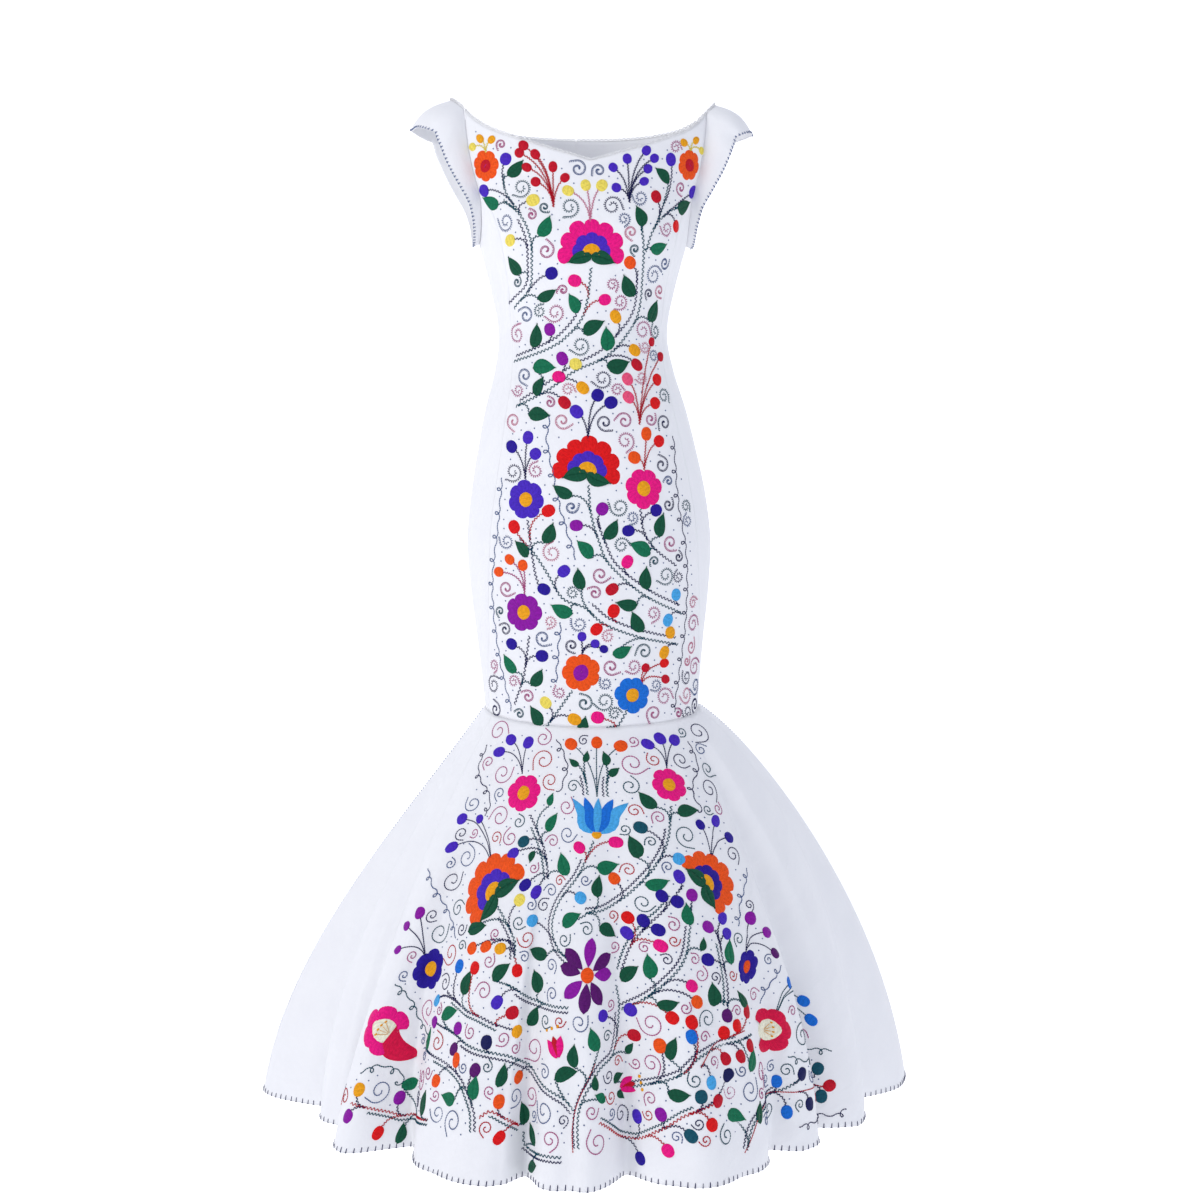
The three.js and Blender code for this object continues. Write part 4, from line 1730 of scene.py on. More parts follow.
BODICE_BLOOMS = (
    Bloom(Flower.FAN, 592, 247, 92, 44, MAGENTA, VIOLET),
    Bloom(Flower.FAN, 588, 464, 88, 45, RED, VIOLET),
    Bloom(Flower.DAISY, 525, 500, 80, 25, VIOLET),
    Bloom(Flower.DAISY, 644, 489, 100, 26, MAGENTA),
    Bloom(Flower.DAISY, 524, 613, 90, 25, PURPLE),
    Bloom(Flower.DAISY, 581, 672, 70, 25, ORANGE, PURPLE, MAUVE),
    Bloom(Flower.DAISY, 633, 695, 60, 24, BLUE),
    Bloom(Flower.DAISY, 486, 166, 60, 20, ORANGE, CRIMSON, VIOLET),
    Bloom(Flower.DAISY, 690, 166, 120, 20, ORANGE, CRIMSON, VIOLET),
)

BODICE_STEMS = (
    Stem(((514, 309), (530, 290), (532, 262), (530, 237), (520, 215), (503, 199))),
    Stem(((509, 304), (525, 286), (527, 262), (526, 240), (517, 219)), NAVY),
    Stem(((520, 214), (506, 192), (504, 174))),
    Stem(((514, 362), (537, 354), (560, 342), (580, 322), (588, 300), (591, 268))),
    Stem(((516, 356), (536, 348), (557, 336), (574, 318), (582, 300)), NAVY),
    Stem(((516, 407), (545, 391), (575, 371), (605, 357), (626, 335), (639, 310), (644, 262), (641, 224))),
    Stem(((519, 401), (545, 385), (572, 366), (600, 351), (620, 331), (634, 308), (638, 270)), NAVY),
    Stem(((645, 252), (655, 228), (668, 213), (680, 206))),
    Stem(((678, 645), (640, 637), (603, 623), (585, 607), (563, 598), (548, 574), (533, 553), (520, 537))),
    Stem(((676, 637), (640, 630), (610, 618), (592, 604)), NAVY),
    Stem(((682, 614), (646, 596), (611, 566), (598, 540), (590, 513), (588, 485))),
    Stem(((680, 606), (650, 591), (617, 565), (604, 541), (596, 518)), NAVY),
    Stem(((676, 566), (654, 548), (643, 530), (641, 508)), NAVY),
    Stem(((515, 704), (524, 676), (529, 636)), NAVY),
    Stem(((543, 731), (558, 710), (572, 690))),
    Stem(((614, 731), (620, 722), (627, 710))),
    Stem(((540, 590), (534, 566), (528, 520)), NAVY),
)

BODICE_SPRIGS = (
    Sprig(553, 207, CRIMSON, tuple(Bud(*p, CRIMSON, 7.0) for p in ((520, 153), (535, 155), (527, 167),
        (553, 166), (565, 177), (536, 181), (524, 146)))),
    Sprig(630, 202, NAVY, tuple(Bud(*p, VIOLET, 6.8) for p in ((613, 167), (627, 158), (646, 151),
        (655, 159), (648, 169), (644, 182), (616, 188)))),
    Sprig(591, 222, ROSE, tuple(Bud(*p, YELLOW, 8.0) for p in ((568, 191), (585, 185), (602, 185)))),
    Sprig(588, 440, NAVY, (Bud(576, 411, VIOLET), Bud(597, 395, INDIGO), Bud(611, 403, INDIGO))),
    Sprig(525, 480, NAVY, (Bud(512, 446, INDIGO), Bud(528, 438, VIOLET), Bud(535, 453, VIOLET))),
    Sprig(644, 470, CRIMSON, (Bud(634, 457, ORANGE), Bud(647, 433, ORANGE), Bud(659, 441, RED))),
    Sprig(640, 425, CRIMSON, (Bud(628, 379, PINK), Bud(629, 397, PINK), Bud(657, 379, RED),
        Bud(655, 403, RED), Bud(652, 341, CRIMSON, 6.5), Bud(661, 356, CRIMSON, 6.5))),
    Sprig(524, 594, MAUVE, (Bud(499, 572, ORANGE, 7.5), Bud(509, 559, ORANGE, 7.5),
        Bud(523, 565, ORANGE, 7.5))),
    Sprig(582, 655, NAVY, (Bud(582, 637, VIOLET, 6.4), Bud(595, 643, VIOLET, 6.4),
        Bud(604, 649, INDIGO, 6.2))),
    Sprig(641, 688, CRIMSON, (Bud(664, 664, RED, 7.0), Bud(666, 679, CRIMSON, 7.0),
        Bud(646, 667, CRIMSON, 6.4))),
    Sprig(486, 153, YELLOW, (Bud(480, 139, AMBER, 6.0), Bud(492, 140, AMBER, 6.0),
        Bud(473, 147, YELLOW, 6.0))),
    Sprig(690, 153, YELLOW, (Bud(696, 141, AMBER, 6.0), Bud(684, 142, AMBER, 6.0),
        Bud(702, 150, YELLOW, 6.0))),
)

BODICE_BUDS = {
    VIOLET: ((506, 159), (484, 190), (564, 572), (671, 160), (693, 192)),
    INDIGO: ((552, 273), (544, 589), (628, 530), (656, 511), (512, 644), (542, 656)),
    YELLOW: ((533, 200), (510, 241), (576, 364), (546, 702)),
    AMBER: ((616, 317), (582, 388), (635, 350), (574, 720), (670, 633), (664, 652)),
    ORANGE: ((630, 263),),
    MAGENTA: ((575, 281), (605, 300), (559, 377), (627, 562), (597, 717)),
    PURPLE: ((550, 329), (562, 359), (577, 526), (603, 509)),
    CRIMSON: ((637, 364), (565, 403), (612, 589), (656, 196)),
    RED: ((676, 226), (549, 511), (514, 527), (613, 611), (596, 629)),
    SKY: ((676, 595), (668, 620)),
}

BODICE_LEAVES = (
    (491, 201, 155), (545, 226, 62), (514, 266, 128), (547, 295, 32), (573, 304, 115), (594, 327, 32),
    (606, 339, 96), (535, 336, 80), (544, 368, -6), (540, 387, 68), (540, 415, 0), (619, 365, 14),
    (653, 310, 70), (629, 286, 118), (659, 247, 20), (640, 216, 108), (563, 491, 152), (549, 532, 68),
    (521, 549, 130), (611, 529, 62), (584, 550, 130), (639, 549, 142), (662, 524, 80), (580, 579, 98),
    (561, 610, 162), (647, 577, 92), (627, 603, 172), (637, 622, 120), (622, 651, 22), (510, 664, 122),
    (537, 678, 58), (535, 717, 108), (584, 727, 88), (515, 167, 48), (662, 176, 130), (684, 205, 24),
)

BODICE_TENDRILS = (
    (SLATE, ((501, 478), (497, 530), (492, 590), (499, 655), (511, 712))),
    (NAVY, ((672, 436), (678, 500), (686, 560), (684, 630), (673, 712))),
    (SLATE, ((549, 416), (546, 440), (552, 470), (560, 510), (575, 560))),
    (SLATE, ((560, 622), (557, 650), (555, 685))),
)

SKIRT_BLOOMS = (
    Bloom(Flower.DAISY, 523, 793, 90, 26, MAGENTA),
    Bloom(Flower.DAISY, 669, 785, 80, 23, MAGENTA),
    Bloom(Flower.LOTUS, 598, 814, 88, 34, BLUE),
    Bloom(Flower.FAN, 491, 887, 124, 53, ORANGE, VIOLET),
    Bloom(Flower.FAN, 710, 881, 48, 44, ORANGE, INDIGO),
    Bloom(Flower.STARFLOWER, 588, 976, 80, 42, AUBERGINE, INDIGO, ORANGE),
    Bloom(Flower.DAISY, 431, 969, 110, 27, INDIGO),
    Bloom(Flower.DAISY, 746, 966, 70, 24, INDIGO, INDIGO, ORANGE, 0.7),
    Bloom(Flower.TRUMPET, 384, 1030, 146, 40, MAGENTA, CERISE),
    Bloom(Flower.TRUMPET, 766, 1029, 10, 38, CERISE, CERISE),
    Bloom(Flower.TULIP, 556, 1048, 108, 20, MAGENTA, INDIGO, CRIMSON),
    Bloom(Flower.TULIP, 627, 1086, 20, 17, MAGENTA, INDIGO, CRIMSON),
)

SKIRT_STEMS = (
    Stem(((577, 1150), (578, 1113), (597, 1073), (614, 1050), (619, 1010), (617, 985))),
    Stem(((574, 1152), (574, 1116), (589, 1078), (596, 1064)), CRIMSON, Line.ROPE),
    Stem(((574, 1112), (560, 1098), (538, 1080), (528, 1063), (505, 1056), (470, 1046), (444, 1026))),
    Stem(((475, 1132), (473, 1107), (460, 1080), (441, 1060), (427, 1050)), NAVY),
    Stem(((427, 1120), (410, 1114), (388, 1112), (350, 1102)), CRIMSON),
    Stem(((568, 1008), (548, 1006), (533, 1000), (515, 990), (507, 984))),
    Stem(((514, 958), (514, 940), (505, 920), (496, 905))),
    Stem(((574, 964), (556, 945), (552, 925), (560, 900), (578, 875), (594, 842))),
    Stem(((586, 914), (604, 909), (620, 900), (640, 884), (657, 862), (668, 840), (671, 806))),
    Stem(((548, 880), (546, 860), (540, 838), (530, 815)), NAVY),
    Stem(((622, 970), (630, 946), (648, 926), (664, 910), (684, 886)), NAVY),
    Stem(((621, 1010), (642, 1000), (664, 985), (684, 960), (690, 935), (692, 905))),
    Stem(((498, 1026), (480, 1018), (463, 1009), (447, 992)), NAVY),
    Stem(((630, 1088), (655, 1084), (680, 1076), (700, 1058), (722, 1044), (752, 1034))),
    Stem(((600, 1124), (628, 1138), (660, 1130), (690, 1114), (718, 1100)), CRIMSON),
    Stem(((748, 1150), (757, 1118), (772, 1092), (800, 1080))),
    Stem(((745, 1152), (762, 1108), (790, 1092), (826, 1088)), CRIMSON, Line.ROPE),
    Stem(((520, 1126), (505, 1118), (490, 1112), (478, 1118)), CRIMSON),
    Stem(((728, 1006), (727, 980), (722, 955), (716, 930)), NAVY),
    Stem(((700, 1068), (712, 1048), (728, 1036), (744, 1030)), CRIMSON, Line.ROPE),
    Stem(((560, 1158), (545, 1156), (528, 1148), (524, 1130))),
    Stem(((587, 796), (587, 784), (583, 770))),
    Stem(((608, 796), (607, 784), (610, 771))),
)

SKIRT_SPRIGS = (
    Sprig(492, 868, NAVY, (Bud(462, 819, VIOLET), Bud(480, 818, VIOLET, 7.0), Bud(452, 847, VIOLET))),
    Sprig(712, 862, NAVY, (Bud(700, 824, INDIGO, 7.0), Bud(716, 820, VIOLET), Bud(729, 837, INDIGO))),
    Sprig(522, 775, NAVY, (Bud(511, 739, VIOLET), Bud(528, 742, VIOLET), Bud(499, 752, VIOLET))),
    Sprig(667, 768, NAVY, (Bud(648, 744, VIOLET), Bud(660, 739, VIOLET), Bud(675, 741, VIOLET))),
    Sprig(597, 797, TEAL, (Bud(571, 744, ORANGE, 9.0), Bud(597, 742, ORANGE, 9.0),
        Bud(621, 746, ORANGE, 9.0))),
    Sprig(425, 957, NAVY, (Bud(419, 912, PURPLE), Bud(407, 926, PURPLE, 7.0), Bud(398, 950, PURPLE, 6.5))),
    Sprig(746, 952, NAVY, (Bud(751, 918, PURPLE), Bud(767, 933, PURPLE), Bud(775, 952, AUBERGINE, 7.4))),
    Sprig(774, 1020, TEAL, (Bud(789, 982, BLUE, 8.8), Bud(803, 1001, BLUE, 8.8),
        Bud(812, 1019, BLUE, 8.8))),
)

SKIRT_BUDS = {
    VIOLET: ((513, 853), (679, 877), (536, 891), (628, 932), (497, 1003), (603, 1017), (637, 1117),
        (723, 918), (727, 933), (631, 1010)),
    INDIGO: ((525, 884), (658, 931), (708, 960), (639, 1159), (644, 920), (662, 896), (677, 902)),
    TEAL: ((523, 842), (641, 828), (702, 1098), (691, 1137), (817, 1068), (822, 1097)),
    SKY: ((679, 858), (580, 897), (533, 921), (437, 1001), (712, 1082)),
    BLUE: ((459, 967), (693, 1037), (776, 1082), (787, 1112)),
    MAGENTA: ((579, 848), (616, 841), (661, 945), (692, 985), (667, 1150)),
    ORANGE: ((614, 878), (486, 947), (472, 947), (519, 1078), (499, 1101), (455, 1061), (659, 1046),
        (436, 1082), (697, 1003)),
    AMBER: ((500, 949), (518, 1032), (359, 1090)),
    YELLOW: ((519, 900),),
    RED: ((628, 917), (475, 967), (518, 970), (379, 1133), (498, 1137), (672, 1019), (693, 1022),
        (737, 1025), (713, 1125), (724, 1032)),
    CRIMSON: ((513, 1012), (635, 1035), (719, 1101), (748, 1012), (750, 1046), (726, 1058),
        (740, 1056), (831, 1086)),
    PURPLE: ((693, 896), (434, 1022), (457, 1029), (401, 1098), (347, 1117), (662, 1114),
        (708, 927)),
    AUBERGINE: ((454, 1048), (474, 1071), (728, 1015)),
    NAVY: ((487, 1042), (728, 1074), (802, 1073), (810, 1103)),
}

SKIRT_LEAVES = (
    (477, 929, 20), (552, 823, 62), (648, 799, 140), (688, 811, 10), (633, 847, 112), (607, 866, 12),
    (564, 864, 102), (658, 882, 10), (598, 887, 86), (571, 920, 32), (608, 931, -30), (688, 913, 102),
    (538, 952, 160), (502, 971, 42), (536, 980, 96), (467, 982, 72), (450, 1014, 18), (429, 1039, 84),
    (630, 973, 44), (648, 965, 96), (668, 1004, 8), (730, 951, 92), (743, 999, 122), (534, 1016, 62),
    (594, 1038, 112), (674, 1048, 72), (753, 1060, 86), (412, 1082, 26), (448, 1098, 158), (475, 1087, 86),
    (567, 1075, 10), (680, 1095, -8), (574, 1056, 92), (761, 1112, 84), (736, 1118, -20), (524, 1112, 96),
    (533, 1133, 104), (532, 1168, 24), (423, 1103, 80), (402, 1133, 62), (712, 993, 92), (500, 1076, 80),
)

SKIRT_LEAFLETS = (
    (574, 762, 146), (586, 756, 74), (605, 759, 104), (615, 773, 38), (532, 858, 250), (597, 1083, 102),
    (601, 1098, 140), (617, 1077, 44), (620, 1096, -38), (629, 1049, 60), (551, 800, 70), (703, 944, 84),
)

SKIRT_TENDRILS = (
    (NAVY, ((487, 745), (478, 770), (490, 800), (484, 815))),
    (NAVY, ((556, 740), (566, 765), (560, 790))),
    (NAVY, ((688, 742), (698, 765), (692, 790), (702, 812))),
    (SLATE, ((428, 868), (436, 892), (448, 912), (456, 938))),
    (TEAL, ((394, 984), (410, 1002), (421, 1022), (428, 1040))),
    (TEAL, ((361, 1074), (380, 1066), (404, 1076), (396, 1088))),
    (SLATE, ((747, 868), (741, 895), (737, 925))),
    (SLATE, ((781, 964), (768, 984), (760, 1004))),
    (TEAL, ((788, 1056), (812, 1060), (832, 1050))),
    (NAVY, ((800, 1128), (822, 1116), (846, 1110))),
)


# ---- Finishes ----


Number = float | int


class Wire:
    """A node's output socket with arithmetic on it; each operator adds a Math node."""

    def __init__(self, nodes: "NodeBook", socket: bpy.types.NodeSocket) -> None:
        """Keeps the socket and the book that adds nodes."""
        self.nodes, self.socket = nodes, socket

    def _math(self, operation: str, *values: "Wire | Number") -> "Wire":
        """A Math node on these values."""
        return self.nodes.add("ShaderNodeMath", {"operation": operation}, dict(enumerate(values)))

    def __add__(self, other: "Wire | Number") -> "Wire":
        """self + other."""
        return self._math("ADD", self, other)

    __radd__ = __add__

    def __mul__(self, other: "Wire | Number") -> "Wire":
        """self * other."""
        return self._math("MULTIPLY", self, other)

    __rmul__ = __mul__

    def __sub__(self, other: "Wire | Number") -> "Wire":
        """self - other."""
        return self._math("SUBTRACT", self, other)

    def __rsub__(self, other: "Wire | Number") -> "Wire":
        """other - self."""
        return self._math("SUBTRACT", other, self)

    def __pow__(self, other: "Wire | Number") -> "Wire":
        """self to the power other."""
        return self._math("POWER", self, other)

    def __rpow__(self, other: "Wire | Number") -> "Wire":
        """other to the power self."""
        return self._math("POWER", other, self)

    def sine(self) -> "Wire":
        """The sine of self."""
        return self._math("SINE", self)

    def absolute(self) -> "Wire":
        """self without its sign."""
        return self._math("ABSOLUTE", self)


class NodeBook:
    """The node tree of one material."""

    LOW: ClassVar = 6  # the Mix node's first colour input
    HIGH: ClassVar = 7
    MIXED: ClassVar = 2  # and its colour output

    def __init__(self, name: str) -> None:
        """Makes an empty material with a Principled shader.

        Args:
            name: The material's name.
        """
        self.material = bpy.data.materials.new(name)
        self.material.use_nodes = True
        self.tree = self.material.node_tree
        self.tree.nodes.clear()
        self.shader = self.tree.nodes.new("ShaderNodeBsdfPrincipled")
        output = self.tree.nodes.new("ShaderNodeOutputMaterial")
        self.tree.links.new(self.shader.outputs["BSDF"], output.inputs["Surface"])

    def add(
        self, kind: str, settings: dict[str, object], values: dict[str | int, object], output: str | int = 0
    ) -> Wire:
        """Adds any node.

        Args:
            kind: The node's type.
            settings: Its own settings, set first.
            values: Values or wires of its inputs, by name or number.
            output: The output to return.

        Returns:
            The output, wrapped.
        """
        node = self.tree.nodes.new(kind)
        for key, value in settings.items():
            if key == "stops":
                for stop, (position, colour) in zip(self.stops(node, len(value)), value):
                    stop.position, stop.color = position, (*colour, 1)
            else:
                setattr(node, key, value)
        for key, value in values.items():
            self.plug(node.inputs[key], value)
        return Wire(self, node.outputs[output])

    @staticmethod
    def stops(node: bpy.types.Node, count: int) -> Iterable[bpy.types.ColorRampElement]:
        """A colour ramp's stops, as many as asked.

        Args:
            node: The ramp.
            count: How many stops it needs.

        Returns:
            The stops.
        """
        while len(node.color_ramp.elements) < count:
            node.color_ramp.elements.new(1)
        return node.color_ramp.elements

    def plug(self, socket: bpy.types.NodeSocket, value: object) -> None:
        """Links a wire to an input, or sets the input's value.

        Args:
            socket: The input.
            value: A wire or a plain value.
        """
        if isinstance(value, Wire):
            self.tree.links.new(value.socket, socket)
        else:
            socket.default_value = value

    def surface(self, **values: object) -> bpy.types.Material:
        """Plugs the Principled shader's inputs.

        Args:
            values: Values or wires by the inputs' names, with underscores for spaces.

        Returns:
            The material.
        """
        for key, value in values.items():
            self.plug(self.shader.inputs[key.replace("_", " ")], value)
        return self.material

    def cloth_place(self) -> tuple[Wire, Wire, Wire]:
        """Cloth coordinates in millimetres: along the weft, along the warp, and the vector of both.

        Returns:
            The three wires.
        """
        vector = self.add("ShaderNodeUVMap", {"uv_map": "Cloth"}, {})
        x = self.add("ShaderNodeSeparateXYZ", {}, {0: vector}, "X")
        y = self.add("ShaderNodeSeparateXYZ", {}, {0: vector}, "Y")
        return x, y, vector

    def noise(self, vector: Wire, scale: float, detail: float = 2.0) -> Wire:
        """Smooth noise from 0 to 1, whose grains are 1 / scale apart."""
        return self.add("ShaderNodeTexNoise", {}, {"Vector": vector, "Scale": scale, "Detail": detail})

    def blend(self, factor: Wire, low: Sequence[float], high: Sequence[float]) -> Wire:
        """A colour between two, by a wire from 0 to 1."""
        colours = {"Factor": factor, self.LOW: (*low, 1.0), self.HIGH: (*high, 1.0)}
        return self.add("ShaderNodeMix", {"data_type": "RGBA"}, colours, self.MIXED)

    def bump(self, height: Wire, strength: float, distance: float, **below: Wire) -> Wire:
        """A bump from a height wire, over a distance in metres, on the Normal of another bump if given."""
        values = {"Height": height, "Strength": strength, "Distance": distance, **below}
        return self.add("ShaderNodeBump", {}, values, "Normal")

    def stretched(self, vector: Wire, share: float) -> Wire:
        """Cloth coordinates squeezed along the warp, which draws a noise out along it."""
        return self.add("ShaderNodeVectorMath", {"operation": "MULTIPLY"}, {0: vector, 1: (1.0, share, 1.0)})


@dataclass(frozen=True)
class CottonFinish:
    """Fine plain-woven white cotton."""

    name: str = "white_cotton"
    shade: tuple[float, float, float] = (0.755, 0.76, 0.79)
    light: tuple[float, float, float] = (0.82, 0.825, 0.84)
    thread: float = 0.62

    def material(self) -> bpy.types.Material:
        """The weave, with slubs and a faint unevenness of colour.

        Returns:
            The material.
        """
        book = NodeBook(self.name)
        x, y, vector = book.cloth_place()
        turn = 2 * math.pi / self.thread
        warp, weft = (x * turn).sine(), (y * turn).sine()
        checker = warp * weft * 0.5 + 0.5
        slub = book.noise(book.stretched(vector, 0.12), 0.9)
        cloud = book.noise(vector, 0.016, 3.0)
        colour = book.blend(cloud * 0.75 + slub * 0.15 + checker * 0.1, self.shade, self.light)
        crumple = book.noise(vector, 0.055, 2.0)
        fine = book.bump(checker * 0.5 + slub * 0.5, 0.5, 0.0002)
        folds = book.bump(crumple, 0.5, 0.0022, Normal=fine)
        return book.surface(
            Base_Color=colour, Normal=folds, Roughness=0.82, Specular_IOR_Level=0.25,
            Sheen_Weight=0.12, Sheen_Roughness=0.5,
        )


@dataclass(frozen=True)
class ThreadFinish:
    """Stranded embroidery cotton of one colour, laid in satin stitches."""

    name: str
    colour: tuple[float, float, float]
    strand: float = 0.85

    def material(self) -> bpy.types.Material:
        """Strands side by side, each a little lighter or darker than the next, with a painted highlight along
        each strand's crest, painted shade in the grooves between strands and patches of painted sheen.

        Returns:
            The material.
        """
        book = NodeBook(f"thread_{self.name}")
        x, y, vector = book.cloth_place()
        drift = book.noise(book.stretched(vector, 0.1), 0.7)
        across = x + drift * 1.3 + book.noise(vector, 0.25) * 1.1
        ridge = (across * (math.pi / self.strand)).sine().absolute()
        patch = book.noise(vector, 0.3, 2.0)
        # dark and bright span both the thread's own tone and painted light: painted shade in the grooves,
        # painted highlight on the crests.
        dark = tuple(c * 0.42 for c in self.colour)
        bright = tuple(min(c * 1.12 + 0.006, 1.0) for c in self.colour)
        # Painted light: ridge paints each strand lighter at its crest (painted highlight) and darker at its
        # edges (painted shade); drift and patch give the strands their own uneven tone and also add patches
        # of painted sheen.
        shade = ridge**0.5 * 0.4 + drift * 0.7 + patch * 0.9 - 0.5
        return book.surface(
            Base_Color=book.blend(shade, dark, bright),
            Roughness=0.5,
            Specular_IOR_Level=0.12,
            Normal=book.bump(ridge**0.6 * 0.8 + drift * 0.2, 0.6, 0.0003),
        )


@dataclass(frozen=True)
class StudioFinish:
    """A plain pale studio surface."""

    name: str = "studio_paper"
    colour: tuple[float, float, float] = (0.93, 0.93, 0.94)
    glow: float = 0.42

    def material(self) -> bpy.types.Material:
        """Matt paper with a faint tooth.

        Returns:
            The material.
        """
        book = NodeBook(self.name)
        place = book.add("ShaderNodeTexCoord", {}, {}, "Object")
        grain = book.noise(place, 60.0, 2.0)
        low = tuple(c * 0.985 for c in self.colour)
        return book.surface(
            Base_Color=book.blend(grain, low, self.colour),
            Roughness=0.9,
            Emission_Color=(*self.colour, 1.0),
            Emission_Strength=self.glow,
        )


# ---- The studio ----


@dataclass(frozen=True)
class Lamp:
    """A square area light: where it hangs and its side, in metres, its watts and its tint."""

    name: str
    at: tuple[float, float, float]
    size: float
    power: float
    tint: tuple[float, float, float] = (1.0, 1.0, 1.0)

    def build(self) -> None:
        """Hangs the lamp, facing the middle of the dress."""
        data = bpy.data.lights.new(self.name, "AREA")
        data.size, data.energy, data.color = self.size, self.power, self.tint
        lamp = bpy.data.objects.new(self.name, data)
        lamp.location = self.at
        aim = Vector((0, 0, -0.8)) - Vector(self.at)
        lamp.rotation_euler = aim.to_track_quat("-Z", "Y").to_euler()
        bpy.context.scene.collection.objects.link(lamp)


LAMPS = (
    Lamp("key", (-2.9, -1.9, 0.6), 1.0, 43.0, (1.0, 0.98, 0.95)),
    Lamp("fill", (2.6, -2.4, 0.0), 2.6, 18.0, (0.92, 0.95, 1.0)),
    Lamp("low", (-0.4, -3.2, -1.2), 1.6, 1.0),
    Lamp("back", (0.6, 2.6, 1.0), 2.4, 7.0, (0.97, 0.98, 1.0)),
    Lamp("top", (0.0, -0.3, 2.0), 2.4, 5.0),
)


@dataclass
class Studio:
    """Camera, soft lights and a pale floor that curves up into a wall."""

    UNITS: ClassVar = 1200  # the frame's side, in the units that places are given in
    distance: float = 3.0
    azimuth: float = -6.0
    camera_height: float = -0.50
    tilt: float = 3.926
    lens: float = 63.39
    shift: float = 0.01417
    sensor: float = 36.0
    floor: float = -2.3
    sky: tuple[float, float, float, float] = (0.865, 0.895, 1.0, 1)
    sky_light: float = 0.71

    def build(self) -> None:
        """Sets the camera, the lights, the sky and the sweep."""
        data = bpy.data.cameras.new("camera")
        data.lens, data.sensor_width, data.shift_x = self.lens, self.sensor, self.shift
        data.clip_start, data.clip_end = 0.1, 100.0
        camera = bpy.data.objects.new("camera", data)
        camera.location = self.place()
        camera.rotation_euler = (math.radians(90 - self.tilt), 0, math.radians(self.azimuth))
        bpy.context.scene.collection.objects.link(camera)
        bpy.context.scene.camera = camera
        for lamp in LAMPS:
            lamp.build()
        bpy.context.scene.view_settings.view_transform = "Standard"
        world = bpy.data.worlds.new("studio_sky")
        world.use_nodes = True
        background = world.node_tree.nodes["Background"]
        background.inputs["Color"].default_value = self.sky
        background.inputs["Strength"].default_value = self.sky_light
        bpy.context.scene.world = world
        self.sweep()

    def sweep(self) -> None:
        """Lays the floor, which curves up behind the dress."""
        half, near, bend_at, radius, tall = 9_000.0, -9_000.0, 2_600.0, 2_000.0, 9_000.0
        turns = np.radians(np.linspace(0, 90, 25))
        deep = np.concatenate([[near], bend_at + radius * np.sin(turns), [bend_at + radius]])
        high = self.floor / MM + np.concatenate([[0], radius * (1 - np.cos(turns)), [tall]])
        x, y = np.meshgrid([-half, half], deep)
        points = np.stack([x, y, np.meshgrid([0, 1], high)[1]], -1).reshape(-1, 3)
        paper = mesh_object("studio_sweep", points, grid_quads(1, len(deep) - 1))
        paper.data.materials.append(StudioFinish().material())

    def place(self) -> tuple[float, float, float]:
        """Where the camera stands, in metres."""
        turn = math.radians(self.azimuth)
        return self.distance * math.sin(turn), -self.distance * math.cos(turn), self.camera_height

    def stand(self) -> Points:
        """Where the camera stands, in millimetres."""
        return np.array(self.place()) / MM

    def frame(self, points: Points) -> tuple[Points, Points]:
        """Where points show in the frame, from its upper left corner, and how far off they are.

        Args:
            points: Points, in millimetres.

        Returns:
            Their places, and their distances.
        """
        turn, tilt = math.radians(self.azimuth), math.radians(self.tilt)
        right = np.array([math.cos(turn), math.sin(turn), 0])
        ahead = np.array([-math.sin(turn) * math.cos(tilt), math.cos(turn) * math.cos(tilt), -math.sin(tilt)])
        up = np.cross(right, ahead)
        off = points - self.stand()
        depth = off @ ahead
        middle, scale = self.UNITS / 2, self.UNITS * self.lens / self.sensor
        x = middle - self.UNITS * self.shift + scale * (off @ right) / depth
        return np.stack([x, middle - scale * (off @ up) / depth], -1), depth


# ---- Assembly ----


